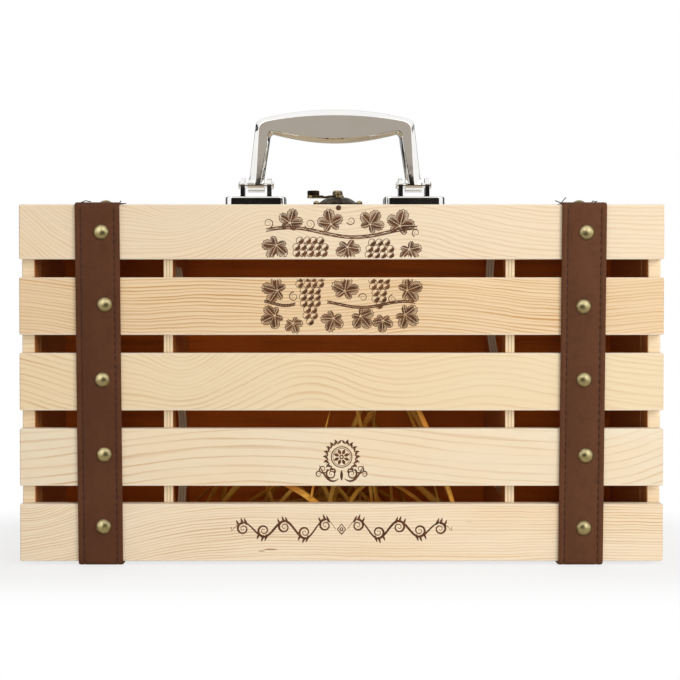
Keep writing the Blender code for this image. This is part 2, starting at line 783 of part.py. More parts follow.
def make_knob(look, axis):
    """A turned knob on a stem through the hook's free end, grooved below its middle."""
    waist = KNOB_RADIUS - KNOB_GROOVE
    low = HOOK_THICK / 2 + FIT
    top = low + KNOB_HEIGHT
    middle = (low + top) / 2
    profile = [
        (0, -HOOK_THICK / 2),
        (KNOB_STEM, -HOOK_THICK / 2),
        (KNOB_STEM, low),
        (KNOB_RADIUS - KNOB_BEVEL, low),
        (KNOB_RADIUS, low + KNOB_BEVEL),
        (waist, low + 2 * KNOB_BEVEL),
        (waist, middle - KNOB_BEVEL / 2),
        (KNOB_RADIUS, middle + KNOB_BEVEL / 2),
        (KNOB_RADIUS, top - KNOB_BEVEL),
        (KNOB_RADIUS - KNOB_BEVEL, top),
        (0, top),
    ]
    knob_place = axis.location + Vector((-HOOK_LENGTH, 0, 0))
    place_piece("latch_knob", turned_mesh("latch_knob", profile), look, knob_place, axis)


# Handle and brackets

def bezier(a, b, c, d, steps):
    points = []
    for step in range(1, steps + 1):
        t = step / steps
        s = 1 - t
        weights = (s**3, 3 * s * s * t, 3 * s * t * t, t**3)
        points.append(
            tuple(sum(w * p[i] for w, p in zip(weights, (a, b, c, d))) for i in range(2))
        )
    return points


def handle_edges():
    """Outer and inner edge of the right half, from the pivot up to the middle of the grip."""
    foot = BRACKET_SPACING / 2
    top = foot - LEG_SPLAY
    half = LEG_WIDTH / 2
    outer_top = (top + half, SHOULDER_HEIGHT)
    outer_turn = (outer_top[0] - SHOULDER_RUN, SHOULDER_HEIGHT + SHOULDER_RISE)
    slope = (APEX_HEIGHT - outer_turn[1]) / outer_turn[0] * 2
    flat = CROWN_PULL * outer_turn[0]
    outer = [(foot + half, 0)]
    outer += bezier(outer[0], outer[0], outer_top, outer_top, LEG_STEPS)
    outer += bezier(
        outer_top,
        (outer_top[0], SHOULDER_HEIGHT + SHOULDER_PULL * SHOULDER_RISE),
        (outer_turn[0] + SHOULDER_PULL * SHOULDER_RUN, outer_turn[1] - flat * slope / 4),
        outer_turn,
        LEG_STEPS,
    )
    outer += bezier(
        outer_turn,
        (outer_turn[0] - flat, outer_turn[1] + flat * slope),
        (flat, APEX_HEIGHT),
        (0, APEX_HEIGHT),
        CROWN_STEPS,
    )
    corner = (top - half, GRIP_END - THROAT_RISE)
    throat = (corner[0] - THROAT_RUN, GRIP_END)
    swell = CROWN_PULL * throat[0]
    inner = [(foot - half, 0)]
    inner += bezier(inner[0], inner[0], corner, corner, LEG_STEPS)
    inner += bezier(
        corner,
        (corner[0], corner[1] + SHOULDER_PULL * THROAT_RISE),
        (throat[0] + SHOULDER_PULL * THROAT_RUN, GRIP_END),
        throat,
        LEG_STEPS,
    )
    inner += bezier(
        throat,
        (throat[0] - swell, GRIP_END + (BELLY_HEIGHT - GRIP_END) * SHOULDER_PULL),
        (swell, BELLY_HEIGHT),
        (0, BELLY_HEIGHT),
        CROWN_STEPS,
    )
    return outer, inner


def eased_corners(corners, ease):
    """Each corner of an outline cut to a narrow facet."""
    points = []
    for i, corner in enumerate(corners):
        here = Vector(corner)
        before = Vector(corners[i - 1])
        after = Vector(corners[(i + 1) % len(corners)])
        points.append(here + (before - here).normalized() * ease)
        points.append(here + (after - here).normalized() * ease)
    return points


def handle_section(half, deep, outer_bevel):
    """Outline of the casting: flat front and back, a broad outer bevel and a narrow inner one.

    The first coordinate runs across the handle to its outer edge, the second from front to back.
    """
    edge = HANDLE_EDGE / 2
    corners = [
        (half, edge),
        (half - outer_bevel, deep),
        (INNER_BEVEL - half, deep),
        (-half, edge),
        (-half, -edge),
        (INNER_BEVEL - half, -deep),
        (half - outer_bevel, -deep),
        (half, -edge),
    ]
    return eased_corners(corners, HANDLE_EASE)


def handle_mesh():
    """Bevelled sections lofted from one pivot, over the grip, to the other."""
    outer, inner = handle_edges()
    pairs = list(zip(outer, inner))
    pairs += [((-a[0], a[1]), (-b[0], b[1])) for a, b in pairs[-2::-1]]
    bm = bmesh.new()
    rings = []
    for a, b in pairs:
        a, b = Vector((a[0], 0, a[1])), Vector((b[0], 0, b[1]))
        middle, reach = (a + b) / 2, (a - b) / 2
        across = reach.normalized()
        rise = max(0.0, min(1.0, middle.z / SHOULDER_HEIGHT))
        rise = rise * rise * (3 - 2 * rise)
        along = (abs(middle.x) / (BRACKET_SPACING / 2)) ** 2
        deep = (LEG_DEPTH + (GRIP_DEPTH - LEG_DEPTH) * rise * (1 - along)) / 2
        crown = GRIP_BEVEL + (GRIP_END_BEVEL - GRIP_BEVEL) * along
        bevel = LEG_BEVEL + (crown - LEG_BEVEL) * across.z**2
        section = handle_section(reach.length, deep, bevel)
        rings.append([bm.verts.new(middle + across * u + Vector((0, v, 0))) for u, v in section])
    for first, second in zip(rings, rings[1:]):
        for i, corner in enumerate(first):
            j = (i + 1) % len(first)
            bm.faces.new((corner, first[j], second[j], second[i]))
    bm.faces.new(rings[0])
    bm.faces.new(rings[-1])
    mesh = as_mesh(bm, "handle")
    smooth_round(mesh, 25)
    return mesh


def make_handle(chrome, axis):
    place = axis.location
    handle = place_piece("handle", handle_mesh(), chrome, place, axis)
    centres = [(side * BRACKET_SPACING / 2, 0, 0) for side in (-1, 1)]
    barrels = rods_mesh("barrels", BARREL_RADIUS, BARREL_WIDTH, centres, ALONG_X, ROUND)
    combine(handle, helper("handle_barrels", barrels, place, axis), "UNION")
    bore = BRACKET_PIN + PIN_PLAY
    bores = rods_mesh("bores", bore, 2 * BARREL_WIDTH, centres, ALONG_X, ROUND)
    combine(handle, helper("handle_bores", bores, place, axis), "DIFFERENCE")


def bracket_base_mesh():
    x, y = BRACKET_WIDTH / 2 - BRACKET_CORNER, BRACKET_DEPTH / 2 - BRACKET_CORNER
    outline = arc((x, y), BRACKET_CORNER, 0, 90, 6) + arc((-x, y), BRACKET_CORNER, 90, 180, 6)
    outline += arc((-x, -y), BRACKET_CORNER, 180, 270, 6)
    outline += arc((x, -y), BRACKET_CORNER, 270, 360, 6)
    mesh = outline_mesh("bracket", outline, BRACKET_HEIGHT, "Z")
    smooth_round(mesh)
    return mesh


def ears_mesh():
    """Both ears of a bracket: wide at the foot, round about the pin."""
    foot = BRACKET_HEIGHT - PIVOT_HEIGHT - BRACKET_EASE
    outline = [(EAR_FOOT / 2, foot), (EAR_RADIUS, BRACKET_HEIGHT - PIVOT_HEIGHT + EAR_THICK)]
    outline += arc((0, 0), EAR_RADIUS, 0, 180, 12)
    outline += [(-EAR_RADIUS, BRACKET_HEIGHT - PIVOT_HEIGHT + EAR_THICK), (-EAR_FOOT / 2, foot)]
    bm = bmesh.new()
    for side in (-1, 1):
        ear = outline_mesh("ear", outline, EAR_THICK, "X")
        ear.transform(Matrix.Translation((side * (EAR_SPREAD - EAR_THICK) / 2, 0, 0)))
        bm.from_mesh(ear)
    return as_mesh(bm, "ears")


def make_bracket(word, side, chrome):
    x = HANDLE_X + side * BRACKET_SPACING / 2
    base = (x, HANDLE_Y, WOOD_HIGH + FIT + BRACKET_HEIGHT / 2)
    bracket = place_piece(f"{word}_bracket", bracket_base_mesh(), chrome, base)
    ease_edges(bracket, BRACKET_EASE, 2)
    pivot = (x, HANDLE_Y, PIVOT_Z)
    combine(bracket, helper(f"{word}_ears", ears_mesh(), pivot), "UNION")
    hole = BRACKET_PIN + PIN_PLAY
    bore = rods_mesh("bore", hole, 2 * EAR_SPREAD, [(0, 0, 0)], ALONG_X, ROUND)
    combine(bracket, helper(f"{word}_bracket_bore", bore, pivot), "DIFFERENCE")
    end = EAR_SPREAD / 2 + FIT
    profile = [
        (0, -end - PIN_HEAD_RISE),
        (PIN_HEAD - PIN_HEAD_BEVEL, -end - PIN_HEAD_RISE),
        (PIN_HEAD, -end - PIN_HEAD_RISE + PIN_HEAD_BEVEL),
        (PIN_HEAD, -end),
        (BRACKET_PIN, -end),
        (BRACKET_PIN, end),
        (PIN_HEAD, end),
        (PIN_HEAD, end + PIN_HEAD_RISE - PIN_HEAD_BEVEL),
        (PIN_HEAD - PIN_HEAD_BEVEL, end + PIN_HEAD_RISE),
        (0, end + PIN_HEAD_RISE),
    ]
    pin = turned_mesh("bracket_pin", profile)
    place_piece(f"{word}_bracket_pin", pin, chrome, pivot, None, (0, math.pi / 2, 0))


def make_dot(look, axis, top_slat, top_rail):
    """The small pin in the top slat, driven into the top rail behind it."""
    place = Vector((LATCH_X, FRONT, WOOD_HIGH - DOT_DROP))
    profile = [
        (0, -DOT_LENGTH),
        (DOT_SHANK, DOT_SHANK - DOT_LENGTH),
        (DOT_SHANK, -DOT_RISE),
        (DOT_RADIUS, -DOT_RISE),
        (DOT_RADIUS, 0),
        (DOT_RADIUS - DOT_BEVEL, DOT_RISE),
        (0, DOT_RISE),
    ]
    mesh = turned_mesh("slat_pin", profile, 12)
    place_piece("slat_pin", mesh, look, place, axis, (math.pi / 2, 0, 0))
    room = FIT / 2
    bore_profile = [
        (0, -DOT_LENGTH - FIT),
        (DOT_SHANK + BORE_CLEARANCE, -DOT_LENGTH - FIT),
        (DOT_SHANK + BORE_CLEARANCE, -DOT_RISE - FIT),
        (DOT_RADIUS + room, -DOT_RISE - FIT),
        (DOT_RADIUS + room, DOT_RISE),
        (0, DOT_RISE),
    ]
    bore = turned_mesh("slat_pin_bore", bore_profile, 12)
    cutter = helper("slat_pin_bore", bore, place, axis, (math.pi / 2, 0, 0))
    combine(top_slat, cutter, "DIFFERENCE")
    combine(top_rail, cutter, "DIFFERENCE")


def main():
    clear_scene()
    pine = finish("pine", (0.78, 0.61, 0.38), 0.6)
    ply = finish("plywood", (0.72, 0.57, 0.38), 0.65)
    back_board = finish("back board", (0.2, 0.08, 0.03), 0.7)
    leather = finish("brown leather", (0.115, 0.045, 0.025), 0.55)
    brass = finish("antique brass", (0.32, 0.25, 0.12), 0.35, 1.0)
    bronze = finish("antique bronze", (0.2, 0.13, 0.06), 0.4, 1.0)
    chrome = finish("chrome", (0.75, 0.75, 0.76), 0.08, 1.0)
    straw = finish("straw", (0.55, 0.33, 0.09), 0.8)

    lid_axis = joint_axis("lid_hinge_axis", (0, SEAM_Y, WOOD_LOW))
    hook_axis = joint_axis(
        "latch_axis", (LATCH_X, SEAM_Y + LATCH_REACH, HOOK_Z + HOOK_THICK / 2)
    )
    handle_axis = joint_axis("handle_axis", (HANDLE_X, HANDLE_Y, PIVOT_Z))

    slats = make_slats(pine, lid_axis)
    lid_bottom_rail, lid_top_rail = make_lid_rim(pine, lid_axis)
    make_lid_holder("lid_left_holder", -1, ply, lid_axis)
    make_lid_holder("lid_right_holder", 1, ply, lid_axis)

    case_bottom = make_case_boards(pine, back_board)
    make_case_holder("case_left_holder", -1, ply)
    make_case_holder("case_right_holder", 1, ply)
    make_straw_bed(straw)

    lid_wrap = strap_outline(SEAM_Y - STRAP_SETBACK, FRONT, -1)
    case_wrap = strap_outline(SEAM_Y + STRAP_SETBACK, BACK, 1)
    lid_straps = []
    for side, word in ((-1, "left"), (1, "right")):
        lid_straps.append(make_strap(f"lid_{word}_strap", side, lid_wrap, leather, lid_axis))
        case_strap = make_strap(f"case_{word}_strap", side, case_wrap, leather)
        add_case_nails(case_strap, side)
    make_lid_nails(brass, lid_axis, slats, lid_top_rail, lid_straps)

    make_hinges(bronze, lid_axis, case_bottom, lid_bottom_rail)

    make_half_moon("latch_base_plate", 1, bronze, RIVET_SHANK)
    make_half_moon("latch_keeper_plate", -1, bronze, STUD_SHANK, lid_axis)
    make_headed_post("latch_rivet", bronze, 1, RIVET_SHANK, RIVET_HEAD, RIVET_RISE)
    make_headed_post("latch_stud", bronze, -1, STUD_SHANK, STUD_HEAD, STUD_RISE, lid_axis)
    make_hook(bronze, hook_axis)
    make_dot(bronze, lid_axis, slats[-1], lid_top_rail)

    make_bracket("left", -1, chrome)
    make_bracket("right", 1, chrome)
    make_handle(chrome, handle_axis)


main()
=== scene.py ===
# %% [markdown]
# # A slatted pine gift box for two bottles
#
# The box is made like a small suitcase. Its slatted front is a lid, two leather straps are
# nailed round it, and a swing latch and a folding chrome handle sit on top. This notebook
# dresses a finished model, whose sizes never change, with the surfaces of the real thing.

# %% Load the fixed model
import math
import random

import bmesh
import bpy
from mathutils import Matrix, Vector


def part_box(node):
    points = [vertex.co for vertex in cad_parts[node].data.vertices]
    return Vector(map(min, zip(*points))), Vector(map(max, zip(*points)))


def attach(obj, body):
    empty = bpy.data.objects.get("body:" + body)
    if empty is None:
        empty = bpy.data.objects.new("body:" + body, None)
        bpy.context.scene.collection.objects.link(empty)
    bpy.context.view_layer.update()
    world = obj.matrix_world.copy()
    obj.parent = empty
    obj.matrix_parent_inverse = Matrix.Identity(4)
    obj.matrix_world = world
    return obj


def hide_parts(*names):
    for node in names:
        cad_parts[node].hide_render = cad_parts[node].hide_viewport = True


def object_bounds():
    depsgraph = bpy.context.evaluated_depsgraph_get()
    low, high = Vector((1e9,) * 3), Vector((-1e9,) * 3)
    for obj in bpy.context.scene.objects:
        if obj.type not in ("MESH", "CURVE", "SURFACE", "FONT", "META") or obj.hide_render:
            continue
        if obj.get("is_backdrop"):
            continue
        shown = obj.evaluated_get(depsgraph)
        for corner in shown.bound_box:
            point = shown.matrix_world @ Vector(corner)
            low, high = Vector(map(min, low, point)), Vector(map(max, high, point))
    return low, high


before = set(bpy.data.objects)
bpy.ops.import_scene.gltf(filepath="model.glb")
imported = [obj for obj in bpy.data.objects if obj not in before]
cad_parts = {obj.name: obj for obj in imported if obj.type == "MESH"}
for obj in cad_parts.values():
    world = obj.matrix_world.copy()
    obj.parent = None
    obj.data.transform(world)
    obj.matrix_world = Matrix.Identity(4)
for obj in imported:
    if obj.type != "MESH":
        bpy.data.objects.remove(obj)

MM = 0.001
CAD_LOW, CAD_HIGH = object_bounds()
print("the model in mm:", [round(v / MM, 1) for v in CAD_HIGH - CAD_LOW])

# %% [markdown]
# ## Camera
#
# The photograph was taken with the box standing square to the lens, a little to the left of
# the box's middle and about as high as its upper slats. A lens shift keeps the upright edges
# upright, as a product photographer does, and a slight tilt does the rest.

# %% Place the camera
CAMERA_PLACE = (-16.5 * MM, -755 * MM, 149 * MM)
CAMERA_LENS = 68.8
CAMERA_TILT = 1.1
CAMERA_SHIFT = (0.0423, -0.0352)


def place_camera():
    bpy.ops.object.camera_add(location=CAMERA_PLACE)
    camera = bpy.context.object
    camera.rotation_euler = (math.radians(90 - CAMERA_TILT), 0, 0)
    camera.data.lens = CAMERA_LENS
    camera.data.shift_x, camera.data.shift_y = CAMERA_SHIFT
    camera.data.clip_start = 0.01
    bpy.context.scene.camera = camera
    return camera


camera = place_camera()
print("camera", [round(v, 3) for v in camera.location])

# %% [markdown]
# ## Shader maths
#
# A procedural finish is mostly arithmetic. Instead of wiring each Math node by hand, the
# class below wraps a socket and gives it the usual operators, so a formula for growth rings
# can be written as a formula. Every other node comes from one method of the Finish class.


# %% A socket that can be added and multiplied
class Wire:
    """One output socket of a node graph, with arithmetic that adds Math nodes."""

    def __init__(self, graph, socket):
        self.graph = graph
        self.socket = socket

    def math(self, operation, *others):
        return self.graph.node("ShaderNodeMath", self, *others, operation=operation)

    def __add__(self, other):
        return self.math("ADD", other)

    def __sub__(self, other):
        return self.math("SUBTRACT", other)

    def __rsub__(self, other):
        return self.graph.node("ShaderNodeMath", other, self, operation="SUBTRACT")

    def __mul__(self, other):
        return self.math("MULTIPLY", other)

    def __truediv__(self, other):
        return self.math("DIVIDE", other)

    def __pow__(self, other):
        return self.math("POWER", other)

    __radd__ = __add__
    __rmul__ = __mul__

    def fraction(self):
        return self.math("FRACT")

    def sine(self):
        return self.math("SINE")

    def size(self):
        return self.math("ABSOLUTE")

    def larger(self, other):
        return self.math("MAXIMUM", other)

    def bell(self):
        """Falls from 1 towards 0 as the value, a squared distance, grows."""
        return (self * -1.0).math("EXPONENT")


# %% A node graph, and a finish: one material and the nodes that make it
class Graph:
    """A node tree that is built by calls, one for each node."""

    def __init__(self, tree):
        self.nodes = tree.nodes
        self.links = tree.links

    def node(self, kind, *inputs, out=0, named=None, **settings):
        node = self.nodes.new(kind)
        for key, value in settings.items():
            setattr(node, key, value)
        pairs = list(enumerate(inputs)) + list((named or {}).items())
        for key, value in pairs:
            self.feed(node.inputs[key], value)
        return Wire(self, node.outputs[out])

    def feed(self, socket, value):
        if isinstance(value, Wire):
            self.links.new(value.socket, socket)
        else:
            socket.default_value = value

    def ramp(self, value, low, high, start=0.0, end=1.0):
        """The value's stretch from low to high, eased, as start to end."""
        return self.node(
            "ShaderNodeMapRange", value, low, high, start, end, interpolation_type="SMOOTHSTEP"
        )

    def mix(self, share, first, second, blend="MIX"):
        """Two colours mixed. A plain colour is three numbers from 0 to 1."""
        first, second = [c if isinstance(c, Wire) else (*c, 1.0) for c in (first, second)]
        return self.node(
            "ShaderNodeMix",
            out=2,
            named={0: share, 6: first, 7: second},
            data_type="RGBA",
            blend_type=blend,
        )


class Finish(Graph):
    """A Principled material whose colour, roughness and relief come from formulas."""

    def __init__(self, name, roughness=0.5, metallic=0.0):
        self.material = bpy.data.materials.new(name)
        self.material.use_nodes = True
        super().__init__(self.material.node_tree)
        self.shader = self.nodes["Principled BSDF"]
        self.shader.inputs["Roughness"].default_value = roughness
        self.shader.inputs["Metallic"].default_value = metallic
        self.place = self.node("ShaderNodeTexCoord", out="Object")

    def split(self):
        """X, Y and Z of the place on the piece, in metres."""
        return [self.node("ShaderNodeSeparateXYZ", self.place, out=i) for i in range(3)]

    def stretched(self, scale, shift=(0, 0, 0)):
        """The place, scaled and moved, for a pattern that runs along one way."""
        return self.node(
            "ShaderNodeMapping", self.place, named={"Scale": scale, "Location": shift}
        )

    def noise(self, where, scale=1.0, detail=2.0, roughness=0.5):
        named = {"Vector": where, "Scale": scale, "Detail": detail, "Roughness": roughness}
        return self.node("ShaderNodeTexNoise", named=named)

    def bump(self, height, depth):
        """Relief from a height of 0 to 1, whose full depth is given in metres."""
        relief = self.node(
            "ShaderNodeBump", named={"Strength": 1.0, "Distance": depth, "Height": height}
        )
        self.feed(self.shader.inputs["Normal"], relief)

    def paint(self, socket, value):
        self.feed(self.shader.inputs[socket], value)


def linear(red, green, blue):
    """A colour as seen on screen, 0 to 255, as the linear light that a shader wants."""
    shares = [v / 255 for v in (red, green, blue)]
    return tuple(((v + 0.055) / 1.055) ** 2.4 if v > 0.04 else v / 12.92 for v in shares)


print("a screen gray of 128 is a light of", round(linear(128, 128, 128)[0], 3))

# %% [markdown]
# ## Studio
#
# The box stands on a white sweep. The floor is a real surface that keeps the box's shadow,
# and further off it turns into plain white for the camera. Polished metal shows what stands
# round it, so mirror reflections see surroundings of their own: white walls and ceiling, and
# dark gaps between them at the sides, which is what puts thin dark outlines on chrome. Two
# bright patches high up in front give its upper edges their glints.

# %% The surroundings
SKY_LIGHT = 0.4
SIDE_DARK, SIDE_HEIGHT, SIDE_FADE = 0.03, 0.42, 0.1
BEHIND_GRAY, BEHIND_FROM, BEHIND_TO = 0.3, 0.45, 0.6
PATCH_LIGHT, PATCH_ASIDE, PATCH_HEIGHT = 1.5, 0.42, 0.5
PATCH_NARROW, PATCH_LOW = 5, 4


def light_surroundings():
    world = bpy.data.worlds.new("studio")
    world.use_nodes = True
    sky = Graph(world.node_tree)
    where = sky.node("ShaderNodeTexCoord", out="Generated")
    x, y, z = [sky.node("ShaderNodeSeparateXYZ", where, out=i) for i in range(3)]
    low = sky.ramp(z, SIDE_HEIGHT, SIDE_HEIGHT + SIDE_FADE, 1.0, 0.0)
    beside = sky.ramp(y, 0.0, 0.12) * low
    behind = sky.ramp(y, BEHIND_FROM, BEHIND_TO)
    dark = beside * (behind * BEHIND_GRAY + (1.0 - behind) * SIDE_DARK) + (1.0 - beside)
    across, up = (x.size() - PATCH_ASIDE) * PATCH_NARROW, (z - PATCH_HEIGHT) * PATCH_LOW
    patch = across**2 + up**2
    mirrored = dark + patch.bell() * PATCH_LIGHT * sky.ramp(y, -0.3, -0.1, 1.0, 0.0)
    in_mirror = sky.node("ShaderNodeLightPath", out="Is Glossy Ray")
    in_view = sky.node("ShaderNodeLightPath", out="Is Camera Ray")
    strength = in_mirror * mirrored + (1.0 - in_mirror) * SKY_LIGHT
    shade = sky.nodes["Background"]
    shade.inputs["Color"].default_value = (1, 1, 1, 1)
    sky.feed(shade.inputs["Strength"], strength.larger(in_view))
    bpy.context.scene.world = world


light_surroundings()
bpy.context.scene.view_settings.view_transform = "Standard"
print("world", bpy.context.scene.world.name)

# %% [markdown]
# ### Lamps
#
# The main light is a softbox at the right, so the shadows are soft and fall to the left. A
# second one in front, a little lower than the box is tall, fills them. In Blender a softbox is
# an area lamp. Neither is seen in polished metal, where the cards below take their place.

# %% Two soft lamps
KEY_PLACE, KEY_SIZE, KEY_POWER = (0.66, -0.9, 0.55), 0.6, 6.6
FRONT_PLACE, FRONT_SIZE, FRONT_POWER = (-0.05, -1.3, 0.15), 0.45, 4.1


def softbox(name, place, size, power):
    bpy.ops.object.light_add(type="AREA", location=place)
    lamp = bpy.context.object
    lamp.name = name
    lamp.data.size = size
    lamp.data.energy = power
    aim = (CAD_LOW + CAD_HIGH) / 2
    lamp.rotation_euler = (aim - Vector(place)).to_track_quat("-Z", "Y").to_euler()
    return lamp


for lamp in (
    softbox("key_softbox", KEY_PLACE, KEY_SIZE, KEY_POWER),
    softbox("front_softbox", FRONT_PLACE, FRONT_SIZE, FRONT_POWER),
):
    lamp.visible_glossy = False
    print("lamp", lamp.name)

# %% [markdown]
# ### Cards
#
# Product photographers hang black and gray cards before a shiny object, just out of the
# picture, so that its flat faces show one even tone. Here a gray card fills the handle's
# flat front, a black one below it darkens the bracket fronts, and a brown one lower still gives
# each nail its olive tone, with a narrow black apron before it for the dark core of the dome.
# The cards are seen by mirror reflections alone.

# %% Cards seen in the metal
CARD_Y, APRON_AHEAD = -0.3, 0.01
CARD_HALF_WIDTH, WIDE_HALF_WIDTH, APRON_HALF_WIDTH = 0.15, 0.22, 0.09
BROWN_CARD_LOW, BLACK_CARD_LOW = 0.0, 0.15
CARD_SEAM, GRAY_CARD_HIGH = 0.2385, 0.33
BROWN_TONE = (0.1, 0.09, 0.035, 1.0)
BLACK_TONE = (0.012, 0.011, 0.01, 1.0)
GRAY_TONE = (0.43, 0.385, 0.335, 1.0)


def start_from(add, **settings):
    """The object that an add operator makes, with nothing else selected."""
    bpy.ops.object.select_all(action="DESELECT")
    add(**settings)
    return bpy.context.object


def hang_card(name, low_z, high_z, tone, half_width=CARD_HALF_WIDTH, y=CARD_Y):
    place = (0, y, (low_z + high_z) / 2)
    card = start_from(bpy.ops.mesh.primitive_plane_add, size=1, location=place)
    card.name = name
    card.scale = (2 * half_width, high_z - low_z, 1)
    card.rotation_euler = (math.radians(90), 0, 0)
    card.visible_camera = False
    card.visible_diffuse = False
    card.visible_shadow = False
    card.visible_transmission = False
    paper = bpy.data.materials.new(name)
    paper.use_nodes = True
    graph = Graph(paper.node_tree)
    glow = graph.node("ShaderNodeEmission", tone, 1.0)
    graph.links.new(glow.socket, graph.nodes["Material Output"].inputs["Surface"])
    card.data.materials.append(paper)
    card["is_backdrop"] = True
    return card


hang_card("brown_card", BROWN_CARD_LOW, BLACK_CARD_LOW, BROWN_TONE, WIDE_HALF_WIDTH)
hang_card(
    "black_apron", BROWN_CARD_LOW, BLACK_CARD_LOW, BLACK_TONE, APRON_HALF_WIDTH,
    CARD_Y + APRON_AHEAD,
)
hang_card("black_card", BLACK_CARD_LOW, CARD_SEAM, BLACK_TONE, WIDE_HALF_WIDTH)
hang_card("gray_card", CARD_SEAM, GRAY_CARD_HIGH, GRAY_TONE)
print("cards hang at y", CARD_Y)

# %% [markdown]
# ### Floor
#
# Two Mix Shaders lie over the floor's own surface. One turns it white for the camera, the more
# so the further a point is from the box, and so the shadow stays and the horizon goes. The
# other shows it to metal in a warm gray, as a tabletop would be seen there.

# %% The floor
FLOOR_SIZE, FLOOR_GAP = 6.0, 0.05 * MM
FLOOR_TONE = (0.86, 0.86, 0.86, 1.0)
FLOOR_NEAR_WHITE, FLOOR_FADE = 0.74, 0.1
FLOOR_IN_MIRROR, MIRROR_SHARE = (0.4, 0.36, 0.27, 1.0), 0.8
BOX_HALF_WIDTH, BOX_HALF_DEPTH = 0.175, 0.052


def lay_floor():
    place = (0, 0, CAD_LOW.z - FLOOR_GAP)
    floor = start_from(bpy.ops.mesh.primitive_plane_add, size=FLOOR_SIZE, location=place)
    floor.name = "floor"
    sweep = Finish("white sweep", roughness=0.9)
    sweep.paint("Base Color", FLOOR_TONE)
    x, y = sweep.split()[:2]
    beside = (x.size() - BOX_HALF_WIDTH).larger(0.0)
    before = (y.size() - BOX_HALF_DEPTH).larger(0.0)
    away = (beside * beside + before * before) ** 0.5
    white = sweep.ramp(away, 0.0, FLOOR_FADE, FLOOR_NEAR_WHITE, 1.0)
    path = sweep.node("ShaderNodeLightPath", out="Is Camera Ray")
    glow = sweep.node("ShaderNodeEmission", (1, 1, 1, 1), 1.0)
    shade = Wire(sweep, sweep.shader.outputs[0])
    both = sweep.node("ShaderNodeMixShader", path * white, shade, glow)
    mirror = sweep.node("ShaderNodeLightPath", out="Is Glossy Ray")
    dim = sweep.node("ShaderNodeEmission", FLOOR_IN_MIRROR, 1.0)
    both = sweep.node("ShaderNodeMixShader", mirror * MIRROR_SHARE, both, dim)
    sweep.links.new(both.socket, sweep.nodes["Material Output"].inputs["Surface"])
    floor.data.materials.append(sweep.material)
    floor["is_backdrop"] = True
    return floor


floor = lay_floor()
print("floor at z", round(floor.location.z, 5))

# %% [markdown]
# ## Pine
#
# Pine shows the growth rings of its trunk as lines that run along a board, and they bend
# round each knot that the trunk had nearby. The finish works out a height in the trunk for
# every point of the board, adds a smooth hump for each knot, and draws a line wherever that
# height passes a whole number of rings. The formula reads all three coordinates, so the
# lines run on over the edges and ends, as they do in real wood. The faces round the inner
# room get a brown painted shade on top, for the dim inside of the box, which lets the grain
# show. A pale painted highlight runs along the lower and upper edge of each slat.

# %% Growth rings
PALE = linear(240, 219, 184)
ROSY = linear(240, 208, 163)
AMBER = linear(200, 152, 94)
RESIN = linear(150, 96, 46)
# Painted highlight: the pale tone along a slat's lower and upper edge.
EDGE_HIGHLIGHT = linear(252, 236, 212)
# Painted shade: the brown laid over the faces round the room inside the box.
INSIDE_PAINTED_SHADE = (0.73, 0.34, 0.13)
RING_LEAN = 0.45
SLOW_BEND, QUICK_BEND, POCKET_BEND = 7 * MM, 2.2 * MM, 2 * MM
BOARD_HALF_LENGTH = 0.17
EDGE_HIGHLIGHT_FROM, EDGE_HIGHLIGHT_TO = 0.3 * MM, 1.1 * MM
INSIDE_SHADE_FROM, INSIDE_SHADE_TO = 0.1 * MM, 0.4 * MM


def hill(x, z, middle_x, middle_z, along, up):
    """A smooth hill, 1 high, somewhere on the board. The four numbers are in mm."""
    off_x = (x - middle_x * MM) / (along * MM)
    off_z = (z - middle_z * MM) / (up * MM)
    return (off_x * off_x + off_z * off_z).bell()


def inside_shade_mask(wood, x, z, half_width, bottom, ceiling):
    """1 on the faces round the room inside the box, which get the painted shade, and 0 outside
    it.
    """
    between = wood.ramp(x.size() - half_width, INSIDE_SHADE_FROM, INSIDE_SHADE_TO, 1.0, 0.0)
    above = wood.ramp(z - bottom, -INSIDE_SHADE_TO, -INSIDE_SHADE_FROM)
    below = wood.ramp(z - ceiling, INSIDE_SHADE_FROM, INSIDE_SHADE_TO, 1.0, 0.0)
    return between * above * below


